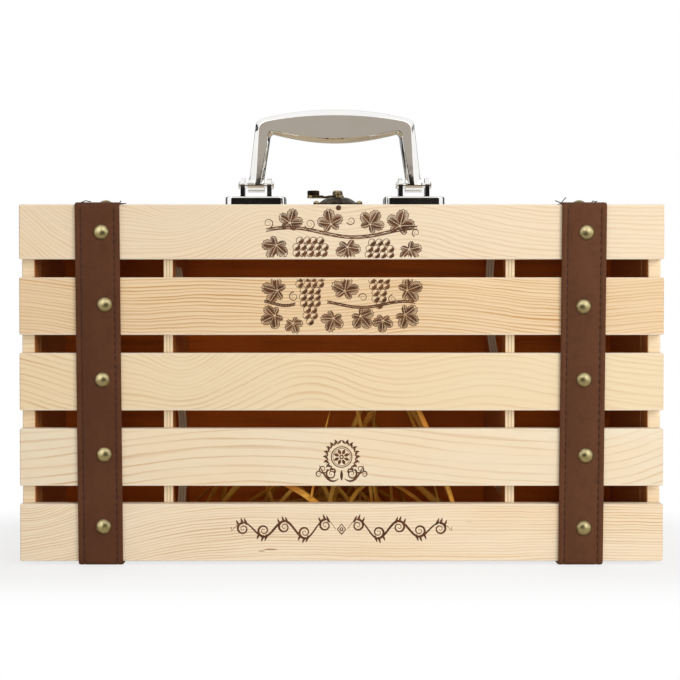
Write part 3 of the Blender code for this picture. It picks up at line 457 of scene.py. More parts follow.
def pine(name, ring, lines, late=0.45, sway=1.0, knots=(), seed=0.0, tint=PALE,
         ends=(1.0, 1.0), edges=None, streaks=(), inside=None):
    """Wood with its rings this far apart. A knot is its x, z, reach along, reach up and push.

    The lines fade or grow along the board, from its left end to its right end. Edges are the
    heights of the board's lower and upper edge, which get a pale painted highlight, stronger
    at the lower one. A streak is a resin pocket: its x, z, half length and half height. Inside
    is the half width, the floor and the ceiling of the room within, whose walls get a brown
    painted shade.
    """
    wood = Finish(name, roughness=0.62)
    x, y, z = wood.split()
    slow = wood.noise(wood.stretched((9, 24, 24), (seed, seed * 1.7, 0)), 1.0, 1.0) - 0.5
    quick = wood.noise(wood.stretched((42, 60, 90), (0, seed, 3.1)), 1.0, 2.0) - 0.5
    height = z + y * RING_LEAN + slow * (sway * SLOW_BEND) + quick * (sway * QUICK_BEND)
    for *place, push in knots:
        height = height + hill(x, z, *place) * (push * MM)
    ring_count = height / ring
    year = wood.node("ShaderNodeCombineXYZ", ring_count * 0.7, x * 6.0, seed)
    uneven = wood.noise(year, 1.0, 2.0) - 0.5
    phase = (ring_count + uneven * 1.4 + 40.0).fraction()
    line = wood.ramp(phase, 0.95 - late, 0.9) * wood.ramp(phase, 0.9, 1.0, 1.0, 0.0)
    strong = wood.noise(year, 2.3, 1.0)
    patch = wood.noise(wood.stretched((11, 11, 26), (0, 0, seed)), 1.0, 2.0)
    share = wood.ramp(patch, 0.3, 0.65, 0.4, 1.0) * wood.ramp(strong, 0.25, 0.7, 0.35, 1.0)
    fibre = wood.noise(wood.stretched((36, 1500, 1500)), 1.0, 3.0, 0.65)
    blush = wood.noise(wood.stretched((8, 30, 30), (0, seed, seed)), 1.0, 2.0)
    fleck = wood.noise(wood.stretched((90, 700, 700), (seed, 0, 0)), 1.0, 1.0)
    tone = wood.mix(wood.ramp(blush, 0.4, 0.75) * 0.4, tint, ROSY)
    left, right = [lines * end for end in ends]
    strength = wood.ramp(x, -BOARD_HALF_LENGTH, BOARD_HALF_LENGTH, left, right)
    tone = wood.mix(line * share * strength, tone, AMBER)
    tone = wood.mix(wood.ramp(fibre, 0.4, 0.8) * 0.12, tone, AMBER)
    tone = wood.mix(wood.ramp(fleck, 0.8, 0.86) * 0.7, tone, RESIN)
    for place in streaks:
        pocket = hill(x, z + quick * POCKET_BEND, *place)
        tone = wood.mix(wood.ramp(pocket, 0.2, 0.75) * 0.8, tone, RESIN)
    # Painted highlight: a pale band along the lower edge of a slat, and a weaker one along its
    # upper edge.
    if edges:
        lower = wood.ramp(z - edges[0], EDGE_HIGHLIGHT_FROM, EDGE_HIGHLIGHT_TO, 0.75, 0.0)
        upper = wood.ramp(edges[1] - z, EDGE_HIGHLIGHT_FROM, EDGE_HIGHLIGHT_TO, 0.5, 0.0)
        tone = wood.mix(lower + upper, tone, EDGE_HIGHLIGHT)
    # Painted shade: the faces round the inner room are darkened brown.
    if inside:
        tone = wood.mix(inside_shade_mask(wood, x, z, *inside), tone, INSIDE_PAINTED_SHADE, "MULTIPLY")
    wood.paint("Base Color", tone)
    wood.paint("Roughness", 0.66 - line * 0.12)
    wood.bump(fibre * 0.5 - line * 0.3, 0.12 * MM)
    return wood.material


# %% Each board has its own rings and knots
SLAT_RINGS = {
    "slat_5": dict(
        ring=2.3 * MM, lines=0.42, sway=1.2, seed=1.3, tint=linear(234, 214, 184),
        knots=((-91, 203, 15, 16, 17), (-42, 176, 27, 44, -20), (30, 190, 50, 60, -14),
               (-186, 192, 28, 60, -30)),
    ),
    "slat_4": dict(
        ring=1.8 * MM, lines=1.2, late=0.6, sway=0.9, seed=4.1, tint=linear(231, 203, 164),
        ends=(0.9, 1.5),
        knots=((-182, 140, 40, 60, -9), (-70, 150, 60, 60, -4), (48, 138, 42, 60, -8),
               (184, 140, 36, 60, -5)),
    ),
    "slat_3": dict(
        ring=3.0 * MM, lines=0.85, late=0.5, sway=0.9, seed=7.7, tint=linear(235, 214, 177),
        ends=(0.9, 0.45),
        knots=((-86, 120, 19, 32, 15), (-20, 110, 36, 50, -18), (80, 118, 60, 50, -18),
               (-186, 100, 34, 60, -12)),
    ),
    "slat_2": dict(
        ring=4.6 * MM, lines=0.66, late=0.3, sway=0.6, seed=2.9, tint=linear(237, 221, 193),
        ends=(1.1, 0.8),
        knots=((-46, 60, 100, 90, -15), (196, 60, 36, 60, -16)),
    ),
    "slat_1": dict(
        ring=1.6 * MM, lines=0.95, late=0.55, sway=0.8, seed=9.2, tint=linear(242, 223, 194),
        ends=(0.85, 1.1),
        knots=((-186, 10, 72, 60, 24), (-168, 40, 16, 14, 8)),
        streaks=((-38.6, 8.4, 4.2, 0.5), (-43.5, 7.6, 2.0, 0.35)),
    ),
}
PLAIN_BOARDS = (
    "lid_bottom_rail", "lid_top_rail", "lid_left_rail", "lid_right_rail",
    "case_bottom_board", "case_top_board", "case_left_end", "case_right_end",
)


def dress(node, material):
    """Give a node of the model its finish."""
    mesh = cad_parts[node].data
    mesh.materials.clear()
    mesh.materials.append(material)


for node, rings in SLAT_RINGS.items():
    low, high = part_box(node)
    dress(node, pine(f"pine of {node}", edges=(low.z, high.z), **rings))


def room(half):
    """The inside of the lid or the case: its half width, its floor and its ceiling."""
    if half == "lid":
        right, floor_board, roof = "lid_right_rail", "lid_bottom_rail", "lid_top_rail"
    else:
        right, floor_board, roof = "case_right_end", "case_bottom_board", "case_top_board"
    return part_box(right)[0].x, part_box(floor_board)[1].z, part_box(roof)[0].z


for count, node in enumerate(PLAIN_BOARDS):
    inside = room(node.split("_")[0])
    rings = pine(f"pine of {node}", 2.6 * MM, 0.36, seed=1.9 * count, inside=inside)
    dress(node, rings)
print("inside in mm:", [[round(v / MM, 2) for v in room(half)] for half in ("lid", "case")])
print("boards", len(SLAT_RINGS) + len(PLAIN_BOARDS))

# %% [markdown]
# ## Plywood and the back board
#
# The bottle holders are thin plywood. From the front one sees their sawn edges, where two
# thin glue lines part three pale layers. Their faces get the same brown painted shade as the
# rest of the inside, and the back is a plain board, stained orange brown.

# %% Plywood in three layers
GLUE_LINE = 0.17
FACE_FROM, FACE_TO = 0.485, 0.498


def plywood(middle_x, thickness):
    ply = Finish("plywood", roughness=0.7)
    x = ply.split()[0]
    depth = ((x - middle_x) / thickness).size()
    glue = ply.ramp((depth - GLUE_LINE).size(), 0.02, 0.07, 1.0, 0.0)
    grain = ply.noise(ply.stretched((900, 60, 900)), 1.0, 3.0, 0.6)
    tone = ply.mix(grain * 0.5, linear(246, 226, 192), linear(226, 196, 154))
    tone = ply.mix(glue * 0.6, tone, linear(150, 124, 96))
    # Painted shade: the broad faces of the holders are darkened brown like the rest of the
    # inside.
    face = ply.ramp(depth, FACE_FROM, FACE_TO)
    tone = ply.mix(face, tone, INSIDE_PAINTED_SHADE, "MULTIPLY")
    ply.paint("Base Color", tone)
    ply.bump(grain, 0.1 * MM)
    return ply.material


def back_board():
    board = Finish("back board", roughness=0.75)
    speck = board.noise(board.stretched((700, 700, 700)), 1.0, 3.0, 0.7)
    cloud = board.noise(board.stretched((14, 14, 40)), 1.0, 2.0)
    tone = board.mix(board.ramp(cloud, 0.3, 0.7), linear(214, 110, 30), linear(190, 92, 22))
    tone = board.mix(board.ramp(speck, 0.5, 0.8) * 0.4, tone, linear(140, 66, 15))
    grain = board.noise(board.stretched((9, 260, 260)), 1.0, 4.0, 0.65)
    tone = board.mix(board.ramp(grain, 0.45, 0.7) * 0.45, tone, linear(150, 72, 18))
    board.paint("Base Color", tone)
    board.bump(speck + grain * 0.5, 0.08 * MM)
    return board.material


for side in ("left", "right"):
    low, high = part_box(f"case_{side}_holder")
    layers = plywood((low.x + high.x) / 2, high.x - low.x)
    dress(f"case_{side}_holder", layers)
    dress(f"lid_{side}_holder", layers)
dress("back_panel", back_board())
print("holders in mm:", round((high.x - low.x) / MM, 1), "thick")

# %% [markdown]
# ## Working in edit mode
#
# The pieces below are modelled as by hand: a primitive, then extrude, bevel, bisect and so
# on. An operator acts on all that is selected, so the helpers here select one piece at a
# time, and faces or points by their place. When a piece is done its place goes into its mesh.


# %% Selecting and settling
def pick(*pieces):
    """Select these pieces alone. The last one is the active one."""
    bpy.ops.object.select_all(action="DESELECT")
    for piece in pieces:
        piece.select_set(True)
    bpy.context.view_layer.objects.active = pieces[-1]


def edit(piece, mode="FACE"):
    pick(piece)
    bpy.ops.object.mode_set(mode="EDIT")
    bpy.ops.mesh.select_mode(type=mode)
    choose_none()


def choose(piece, kind, test):
    """In edit mode, select the points, edges or faces that pass a test."""
    mesh = bmesh.from_edit_mesh(piece.data)
    for item in getattr(mesh, kind):
        if test(item):
            item.select_set(True)
    bmesh.update_edit_mesh(piece.data)


def choose_all():
    """In edit mode, select everything, as the key A does."""
    bpy.ops.mesh.select_all(action="SELECT")


def choose_none():
    bpy.ops.mesh.select_all(action="DESELECT")


def face_out():
    """In edit mode, turn all faces outwards."""
    choose_all()
    bpy.ops.mesh.normals_make_consistent(inside=False)


def extrude(*move):
    """In edit mode, extrude what is selected by a move along X, Y and Z."""
    bpy.ops.mesh.extrude_region_move(TRANSFORM_OT_translate={"value": move})


def leave_edit():
    bpy.ops.object.mode_set(mode="OBJECT")


def freeze(piece):
    """Put a piece's place, turn and scale into its mesh."""
    pick(piece)
    bpy.ops.object.transform_apply(location=True, rotation=True, scale=True)


def modify(piece, kind, **settings):
    """Add a modifier and apply it at once."""
    pick(piece)
    step = piece.modifiers.new(kind.lower(), kind)
    for key, value in settings.items():
        setattr(step, key, value)
    bpy.ops.object.modifier_apply(modifier=step.name)


def ease(piece, width, segments, angle):
    """Bevel the edges that are sharper than an angle in degrees."""
    modify(
        piece, "BEVEL", width=width, segments=segments, limit_method="ANGLE",
        angle_limit=math.radians(angle),
    )


def settle(piece, name, material, smooth):
    """Name a finished piece, put its place into its mesh, shade it and paint it."""
    piece.name = name
    piece.data.name = name
    freeze(piece)
    bpy.ops.object.shade_smooth_by_angle(angle=math.radians(smooth))
    piece.data.materials.clear()
    piece.data.materials.append(material)
    return piece


def join(name, pieces):
    """Several finished pieces as one object."""
    pick(*pieces)
    bpy.ops.object.join()
    whole = bpy.context.object
    whole.name = name
    whole.data.name = name
    return whole


def many(name, pattern, places, material):
    """Copies of one small mesh at each place (a matrix), as one object."""
    mesh = bmesh.new()
    for place in places:
        copy = pattern.data.copy()
        copy.transform(place)
        mesh.from_mesh(copy)
        bpy.data.meshes.remove(copy)
    data = bpy.data.meshes.new(name)
    mesh.to_mesh(data)
    mesh.free()
    data.materials.append(material)
    group = bpy.data.objects.new(name, data)
    bpy.context.scene.collection.objects.link(group)
    pick(group)
    bpy.ops.object.shade_smooth_by_angle(angle=math.radians(40))
    return group


def strands(name, paths, radius, **settings):
    """Thin curves as one mesh. Each point is its x, y, z, tilt and width."""
    curve = bpy.data.curves.new(name, "CURVE")
    curve.dimensions = "3D"
    curve.bevel_depth = radius
    curve.use_fill_caps = True
    for key, value in settings.items():
        setattr(curve, key, value)
    for path in paths:
        spline = curve.splines.new("POLY")
        spline.points.add(len(path) - 1)
        for item, (x, y, z, tilt, width) in zip(spline.points, path):
            item.co = (x, y, z, 1)
            item.tilt = tilt
            item.radius = width
    piece = bpy.data.objects.new(name, curve)
    bpy.context.scene.collection.objects.link(piece)
    pick(piece)
    bpy.ops.object.convert(target="MESH")
    return bpy.context.object

# %% [markdown]
# ## Leather straps
#
# Each strap is a folded and stitched band of brown leather, nailed round the box. It begins
# as a thin plane that is extruded round the top, down the face and under the bottom. Bisects
# then mark where the two rows of stitches run, that line is pressed in, and Solidify and
# Bevel give the band its thickness and its rounded edges.

# %% Sizes of a strap
STRAP_THICK, STRAP_BACK_THICK = 1.6 * MM, 2 * MM
STRAP_BEND, BEND_STEPS = 2.8 * MM, 6
STRAP_LEAN, STRAP_SAG = 0.008, 0.8 * MM
STRAP_ROW = 5 * MM
STITCH_INSET, STITCH_PITCH = 3.2 * MM, 4.2 * MM
GROOVE_HALF, GROOVE_DEPTH = 0.55 * MM, 0.35 * MM
RIM_WIDTH, RIM_DROP, RIM_EASE = 1.2 * MM, 0.25 * MM, 0.45 * MM
NEAR = 0.1 * MM
print("strap thickness in mm:", round(STRAP_THICK / MM, 2))


def run(start, end, step):
    """Evenly spaced points on a straight stretch, without its first one."""
    start, end = Vector(start), Vector(end)
    count = max(1, round((end - start).length / step))
    return [start.lerp(end, (i + 1) / count) for i in range(count)]


def fold(centre, out, start):
    """Points of a quarter round fold, downwards from a start angle in degrees."""
    points = []
    for step in range(1, BEND_STEPS + 1):
        angle = math.radians(start - 90 / BEND_STEPS * step)
        points.append(centre + STRAP_BEND * Vector((out * math.cos(angle), math.sin(angle))))
    return points


def strap_path(node):
    """Points (y, z) along the outside of a strap, from the seam on top to the seam below."""
    low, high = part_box(node)
    on_lid = node.startswith("lid")
    face = low.y if on_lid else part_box("back_panel")[1].y + STRAP_BACK_THICK
    seam = high.y if on_lid else low.y
    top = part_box("lid_left_strap")[1].z - STRAP_SAG
    out = -1 if on_lid else 1
    path = [Vector((seam, top))]
    inner = face - out * STRAP_BEND
    path += run((seam, top), (inner, top), STRAP_ROW)
    path += fold(Vector((inner, top - STRAP_BEND)), out, 90)
    path += run((face, top - STRAP_BEND), (face, low.z + STRAP_BEND), STRAP_ROW)
    path += fold(Vector((inner, low.z + STRAP_BEND)), out, 0)
    path += run((inner, low.z), (seam, low.z), STRAP_ROW)
    return path


def strap_middle(node, height):
    """X of a strap's middle at a height, and its half width. It leans outward at the top."""
    low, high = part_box(node)
    side = -1 if "left" in node else 1
    rise = STRAP_LEAN * (height - (low.z + high.z) / 2)
    half = (high.x - low.x - STRAP_LEAN * (high.z - low.z)) / 2
    return (low.x + high.x) / 2 + side * rise, half

# %% [markdown]
# ### Leather and thread
#
# The leather is dark brown, with a fine pebbled grain and soft creases. Voronoi gives the
# pebbles and Noise the creases, mostly as relief, because the colour hardly changes. The
# thread is waxed and twisted, and a sine of the place draws its slanted lines.

# %% Leather
def leather():
    hide = Finish("brown leather", roughness=0.5)
    grain = hide.node(
        "ShaderNodeTexVoronoi", named={"Vector": hide.place, "Scale": 1500.0}, feature="F1"
    )
    crease = hide.noise(hide.stretched((260, 260, 260)), 1.0, 3.0, 0.6)
    cloud = hide.noise(hide.stretched((40, 40, 18)), 1.0, 3.0, 0.6)
    x = hide.split()[0]
    tone = hide.mix(hide.ramp(cloud, 0.3, 0.72), linear(86, 50, 30), linear(96, 58, 37))
    # Painted light: the straps grow a little lighter towards the right, where the main light
    # stands.
    painted_light_right = hide.ramp(x, -0.14, 0.14)
    tone = hide.mix(painted_light_right * 0.5, tone, linear(96, 60, 39))
    tone = hide.mix(hide.ramp(crease, 0.45, 0.75) * 0.35, tone, linear(72, 42, 27))
    hide.paint("Base Color", tone)
    hide.paint("Roughness", 0.46 + crease * 0.2)
    hide.shader.inputs["Specular IOR Level"].default_value = 0.2
    hide.bump(grain * 0.5 + crease * 0.8, 0.1 * MM)
    return hide.material


def thread():
    """Dark waxed thread with a twist that shows as fine slanted lines."""
    yarn = Finish("waxed thread", roughness=0.6)
    x, y, z = yarn.split()
    twist = ((x + y + z) * (2 * math.pi / (0.5 * MM))).sine() * 0.5 + 0.5
    yarn.paint("Base Color", yarn.mix(twist, linear(30, 15, 10), linear(62, 32, 22)))
    yarn.bump(twist, 0.06 * MM)
    return yarn.material


LEATHER = leather()
THREAD = thread()
print("finishes", LEATHER.name, THREAD.name)

# %% [markdown]
# ### Bending a strap round the box
#
# In side view the strap's outside is a path with a round fold at the top and at the bottom. The
# plane's leading edge is extruded from point to point of it, and shifted a little each time,
# because the real straps lean outward at the top. One could also bend a long flat band along a
# curve, but the folds stay tighter this way.

# %% One strap
def make_strap(node):
    path = strap_path(node)
    middle, half = strap_middle(node, path[0].y)
    first = path[1] - path[0]
    place = (middle, path[0].x + first.x / 2, path[0].y)
    strap = start_from(bpy.ops.mesh.primitive_plane_add, size=1.0, location=place)
    strap.scale = (2 * half, abs(first.x), 1)
    freeze(strap)
    edit(strap, "EDGE")
    edge = path[1].x
    choose(strap, "edges", lambda e: all(abs(v.co.y - edge) < 0.01 * MM for v in e.verts))
    for start, end in zip(path[1:], path[2:]):
        move = end - start
        shift = strap_middle(node, end.y)[0] - strap_middle(node, start.y)[0]
        extrude(shift, move.x, move.y)
    lines = [half - STITCH_INSET + k * GROOVE_HALF for k in (-1, 0, 1)] + [half - RIM_WIDTH]
    upright = math.atan(STRAP_LEAN) * (-1 if "left" in node else 1)
    normal = Vector((math.cos(upright), 0, -math.sin(upright)))
    low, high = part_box(node)
    centre = Vector(((low.x + high.x) / 2, 0, (low.z + high.z) / 2))
    for line in [-v for v in lines] + lines:
        choose_all()
        bpy.ops.mesh.bisect(plane_co=centre + normal * line, plane_no=normal)
    face_out()
    leave_edit()
    return strap, normal, centre, half


def face_outwards(strap, node):
    """An open sheet has no inside, so its front is turned by hand if need be."""
    out = -1 if node.startswith("lid") else 1
    widest = max(strap.data.polygons, key=lambda p: p.area)
    if widest.normal.y * out < 0:
        edit(strap)
        choose_all()
        bpy.ops.mesh.flip_normals()
        leave_edit()


def press_grooves(strap, normal, centre, half):
    """Push in the stitch lines, and let the rims of the band drop a little."""
    strap.data.update()
    normals = [v.normal.copy() for v in strap.data.vertices]
    for vert, out in zip(strap.data.vertices, normals):
        across = abs((vert.co - centre).dot(normal))
        if abs(across - half + STITCH_INSET) < NEAR:
            vert.co -= out * GROOVE_DEPTH
        elif across > half - NEAR:
            vert.co -= out * RIM_DROP


def finish_strap(strap, node):
    modify(strap, "SOLIDIFY", thickness=STRAP_THICK, offset=-1.0)
    ease(strap, RIM_EASE, 3, 50)
    settle(strap, f"{node}_leather", LEATHER, 50)
    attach(strap, "lid" if node.startswith("lid") else "case")
    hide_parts(node)
    return strap


STRAP_NODES = ("lid_left_strap", "lid_right_strap", "case_left_strap", "case_right_strap")
straps = {}
for node in STRAP_NODES:
    strap, normal, centre, half = make_strap(node)
    face_outwards(strap, node)
    press_grooves(strap, normal, centre, half)
    straps[node] = finish_strap(strap, node)
print("strap faces", [len(s.data.polygons) for s in straps.values()])

# %% [markdown]
# ### Stitches
#
# A stitch is a short round-ended bead of thread. One is modelled from a stretched sphere,
# and copies of it are laid along both grooves of every strap, each turned along the band.

# %% Lay the stitches
STITCH_SIZE = (0.26 * MM, 0.3 * MM, 1.5 * MM)
STITCH_SUNK, STITCH_SUNK_BELOW = 0.12 * MM, 0.34 * MM
SHORT_STITCH = 0.45


def stitch_pattern():
    bead = start_from(
        bpy.ops.mesh.primitive_uv_sphere_add,
        segments=6, ring_count=5, radius=1.0, location=(0, 0, 0),
    )
    bead.scale = STITCH_SIZE
    freeze(bead)
    return bead


def stitch_places(node):
    """Where the beads lie: their middle, and their way along the strap."""
    path = strap_path(node)
    out = -1 if node.startswith("lid") else 1
    places = []
    travelled = 0.0
    due = STITCH_PITCH
    for start, end in zip(path, path[1:]):
        length = (end - start).length
        while due <= travelled + length:
            point = start.lerp(end, (due - travelled) / length)
            way = (end - start).normalized()
            outward = Vector((0, -way.y, way.x)) * out
            middle, half = strap_middle(node, point.y)
            bent = min(abs(way.x), abs(way.y)) > 0.1
            sunk = STITCH_SUNK_BELOW if bent or outward.z < -0.5 else STITCH_SUNK
            for side in (-1, 1):
                x = middle + side * (half - STITCH_INSET)
                spot = Vector((x, point.x, point.y)) - outward * sunk
                along = Vector((0, way.x, way.y))
                length_share = SHORT_STITCH if bent else 1
                turn = Matrix((along.cross(outward), outward, along * length_share))
                places.append(Matrix.Translation(spot) @ turn.transposed().to_4x4())
            due += STITCH_PITCH
        travelled += length
    return places


bead = stitch_pattern()
for node in STRAP_NODES:
    stitches = many(f"{node}_stitching", bead, stitch_places(node), THREAD)
    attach(stitches, "lid" if node.startswith("lid") else "case")
    print(stitches.name, len(stitches.data.polygons), "faces")
bpy.data.objects.remove(bead)

# %% [markdown]
# ### Loose ends of thread
#
# Where the straps fold over the top of the lid, a few ends of thread stick out of the
# stitching. Each is a short curve with a round bevel, converted to a mesh. The points are
# in mm.

# %% Loose ends of thread where the straps fold over the top
THREAD_RADIUS = 0.28 * MM
THREAD_ENDS = {
    "left": (
        ((-124.8, -49.5, 196.6), (-121.0, -50.4, 196.5), (-116.6, -51.0, 196.4)),
        ((-120.2, -50.4, 196.5), (-119.9, -50.6, 197.2), (-119.4, -50.6, 197.9)),
        ((-141.4, -49.8, 196.9), (-138.6, -50.2, 198.0), (-137.2, -50.2, 197.6),
         (-135.8, -50.2, 197.5)),
    ),
    "right": (
        ((124.5, -49.5, 196.7), (121.2, -50.4, 196.6), (118.0, -51.0, 196.9),
         (115.4, -51.2, 197.9)),
        ((119.0, -50.9, 196.9), (120.1, -51.0, 198.4), (121.4, -51.0, 199.7)),
        ((135.6, -49.6, 197.2), (136.2, -50.0, 197.9), (137.4, -50.0, 197.3),
         (138.4, -50.0, 197.7)),
    ),
}

for side, ends in THREAD_ENDS.items():
    name = f"lid_{side}_strap_thread_ends"
    paths = [[(*(Vector(point) * MM), 0, 1) for point in end] for end in ends]
    piece = settle(strands(name, paths, THREAD_RADIUS, bevel_resolution=1), name, THREAD, 60)
    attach(piece, "lid")
print("thread ends", sum(len(ends) for ends in THREAD_ENDS.values()))

# %% [markdown]
# ## Nails
#
# The straps are held by domed nails in antique brass: dark in the hollows and round the rim,
# rubbed pale on the crown. The dome is the cap of a sphere, cut off by a bisect. How near a
# point is to the crown is kept in an attribute, and the finish reads it. The nails on the top
# folds are sunk deeper in the leather and less rubbed.

# %% Antique brass
def antique(name, dark, rubbed, roughness=0.3, metallic=1.0):
    metal = Finish(name, roughness=roughness, metallic=metallic)
    crown = metal.node("ShaderNodeAttribute", out="Fac", attribute_name="crown")
    stain = metal.noise(metal.stretched((420, 420, 420)), 1.0, 3.0, 0.6)
    pit = metal.noise(metal.stretched((1400, 1400, 1400)), 1.0, 2.0, 0.6)
    # The crown attribute holds wear, and on the slat pin and the latch nails a painted highlight.
    wear_and_sheen = metal.ramp(crown + (stain - 0.5) * 0.5, 0.05, 0.55)
    tone = metal.mix(wear_and_sheen, dark, rubbed)
    tone = metal.mix(metal.ramp(pit, 0.55, 0.75) * 0.5, tone, dark)
    metal.paint("Base Color", tone)
    metal.paint("Roughness", roughness + 0.16 - wear_and_sheen * 0.14 + stain * 0.1)
    metal.bump(stain + pit * 0.3, 0.05 * MM)
    return metal.material


def mark_crown(piece, share):
    """Store for each point how pale it is, from 0 to 1: wear, and on some pieces a painted
    highlight.
    """
    layer = piece.data.attributes.new("crown", "FLOAT", "POINT")
    for item, vert in zip(layer.data, piece.data.vertices):
        item.value = share(vert.co)


BRASS = antique("antique brass", linear(92, 76, 38), linear(214, 199, 150), 0.3)
print("finish", BRASS.name)

# %% Model one nail and place it wherever the model has one
NAIL_RADIUS, NAIL_RISE = 4.15 * MM, 2.4 * MM
DOME_FOOT, RIM_SLOPE, RIM_UPRIGHT = 0.35 * MM, 0.15 * MM, 0.25 * MM
RIM_FLARE = 1.05
TOP_NAIL_SUNK, TOP_NAIL_RUB, TOP_NAIL_INSET = 1.5 * MM, 0.45, 12 * MM
STRAP_AND_HEAD = 4.6 * MM


def nail_pattern():
    """A dome on a narrow rim that flares out and then drops. It faces up."""
    bulge = (NAIL_RADIUS**2 + NAIL_RISE**2) / (2 * NAIL_RISE)
    dome = start_from(
        bpy.ops.mesh.primitive_uv_sphere_add,
        segments=40, ring_count=28, radius=bulge, location=(0, 0, NAIL_RISE - bulge),
    )
    freeze(dome)
    edit(dome)
    choose_all()
    bpy.ops.mesh.bisect(
        plane_co=(0, 0, DOME_FOOT), plane_no=(0, 0, 1), clear_inner=True, use_fill=False
    )
    bpy.ops.mesh.select_mode(type="EDGE")
    choose_none()
    choose(dome, "edges", lambda e: e.is_boundary)
    extrude(0, 0, -RIM_SLOPE)
    bpy.ops.transform.resize(value=(RIM_FLARE, RIM_FLARE, 1))
    extrude(0, 0, -RIM_UPRIGHT)
    bpy.ops.mesh.edge_face_add()
    face_out()
    leave_edit()
    mark_crown(dome, lambda co: 1.0 - math.hypot(co.x, co.y) / NAIL_RADIUS * 0.75)
    return dome


def place_nail(pattern, name, place, body, node=None, rub=1.0):
    """A copy of the nail, turned to its place (a matrix). Rub is how much its crown is rubbed."""
    nail = bpy.data.objects.new(name, pattern.data.copy())
    bpy.context.scene.collection.objects.link(nail)
    for item in nail.data.attributes["crown"].data:
        item.value *= rub
    nail.data.transform(place)
    settle(nail, name, BRASS, 60)
    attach(nail, body)
    if node:
        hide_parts(node)
    return nail


def facing(way):
    """A turn that brings +Z to face this way."""
    return Vector(way).to_track_quat("Z", "Y").to_matrix().to_4x4()


dome = nail_pattern()
nails = []
for side in ("left", "right"):
    back = strap_path(f"case_{side}_strap")
    behind_y = max(p.x for p in back)
    for count in range(1, 6):
        node = f"{side}_front_nail_{count}"
        low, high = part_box(node)
        x, z = (low.x + high.x) / 2, (low.z + high.z) / 2
        front = Matrix.Translation((x, low.y + NAIL_RISE, z)) @ facing((0, -1, 0))
        nails.append(place_nail(dome, f"{node}_head", front, "lid", node))
        behind = Matrix.Translation((x, behind_y, z)) @ facing((0, 1, 0))
        nails.append(place_nail(dome, f"{side}_back_nail_{count}", behind, "case"))
    node = f"{side}_top_nail"
    low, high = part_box(node)
    x, y = (low.x + high.x) / 2, (low.y + high.y) / 2
    top = high.z - NAIL_RISE - TOP_NAIL_SUNK
    spot = Matrix.Translation((x, y, top))
    nails.append(place_nail(dome, f"{node}_head", spot, "lid", node, TOP_NAIL_RUB))
    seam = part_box("case_top_board")[0].y
    rear = CAD_HIGH.y - STRAP_AND_HEAD
    for count, y in enumerate((seam + TOP_NAIL_INSET, rear - TOP_NAIL_INSET), 1):
        spot = Matrix.Translation((x, y, top))
        name = f"{side}_case_top_nail_{count}"
        nails.append(place_nail(dome, name, spot, "case", rub=TOP_NAIL_RUB))
bpy.data.objects.remove(dome)
print("nails", len(nails))

# %% [markdown]
# ## Chrome
#
# The handle and its brackets are cast and plated. The model already has their true facets,
# so a copy of each is taken, its loose triangles are merged, and it is shaded smooth with
# weighted normals: the flat faces then stay flat and only the narrow eased edges turn the
# light. The finish is a mirror with a faint haze and a few finger marks.

# %% A refined copy of a node
MERGE = 0.002 * MM
LEAST_FLAT = 2e-7


def refined(node, material, body, smooth=32, width=0.0, reshape=None):
    """A merged, smoothly shaded copy of a node, shown in its place."""
    piece = bpy.data.objects.new(f"{node}_finished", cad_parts[node].data.copy())
    bpy.context.scene.collection.objects.link(piece)
    edit(piece, "VERT")
    choose_all()
    bpy.ops.mesh.remove_doubles(threshold=MERGE)
    bpy.ops.mesh.dissolve_limited(angle_limit=math.radians(0.4))
    leave_edit()
    if reshape:
        reshape(piece)
    if width:
        ease(piece, width, 2, 40)
    settle(piece, f"{node}_finished", material, smooth)
    modify(piece, "WEIGHTED_NORMAL", keep_sharp=True, weight=90, thresh=LEAST_FLAT)
    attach(piece, body)
    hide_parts(node)
    return piece


# %% Polished chrome
def chrome():
    metal = Finish("polished chrome", roughness=0.06, metallic=1.0)
    haze = metal.noise(metal.stretched((70, 70, 70)), 1.0, 3.0, 0.6)
    peel = metal.noise(metal.stretched((260, 260, 260)), 1.0, 1.0)
    tone = metal.mix(metal.ramp(haze, 0.45, 0.8) * 0.4, (0.92, 0.91, 0.89), (0.80, 0.78, 0.74))
    metal.paint("Base Color", tone)
    metal.paint("Roughness", metal.ramp(haze, 0.35, 0.8, 0.03, 0.11))
    metal.bump(peel, 0.012 * MM)
    return metal.material


CHROME = chrome()
print("finish", CHROME.name)

# %% [markdown]
# ### Handle and brackets
#
# The castings keep the model's form. Only the ears of the brackets are mended: their feet slope
# in the model, and on the real ones the fronts stand upright, which shows in the reflections.

# %% The handle and its brackets
BRACKET_BASE_HEIGHT = 7 * MM
EAR_RADIUS, EAR_FOOT_LEAST, EAR_OUTSIDE = 4.3 * MM, 5 * MM, 9.5 * MM
SAME_LEVEL = 0.05 * MM


def centre_of(corners):
    """X and Y of the middle of a cloud of points."""
    return [(min(c[i] for c in corners) + max(c[i] for c in corners)) / 2 for i in (0, 1)]


def stand_ears_upright(bracket):
    """Draw in the sloping feet of a bracket's ears, so that their fronts stand upright."""
    corners = [v.co for v in bracket.data.vertices]
    middle_x, middle_y = centre_of(corners)
    top = min(c.z for c in corners) + BRACKET_BASE_HEIGHT
    moved = 0
    for corner in corners:
        reach = corner.y - middle_y
        on_ear = abs(corner.x - middle_x) < EAR_OUTSIDE and abs(corner.z - top) < SAME_LEVEL
        if on_ear and EAR_FOOT_LEAST < abs(reach) < EAR_FOOT_LEAST + MM:
            corner.y = middle_y + math.copysign(EAR_RADIUS, reach)
            moved += 1
    print("ear corners drawn in:", moved)


refined("handle", CHROME, "handle", 26)
for side in ("left", "right"):
    refined(f"{side}_bracket", CHROME, "case", 32, reshape=stand_ears_upright)
    refined(f"{side}_bracket_pin", CHROME, "case", 32)
print("chrome pieces", 5)

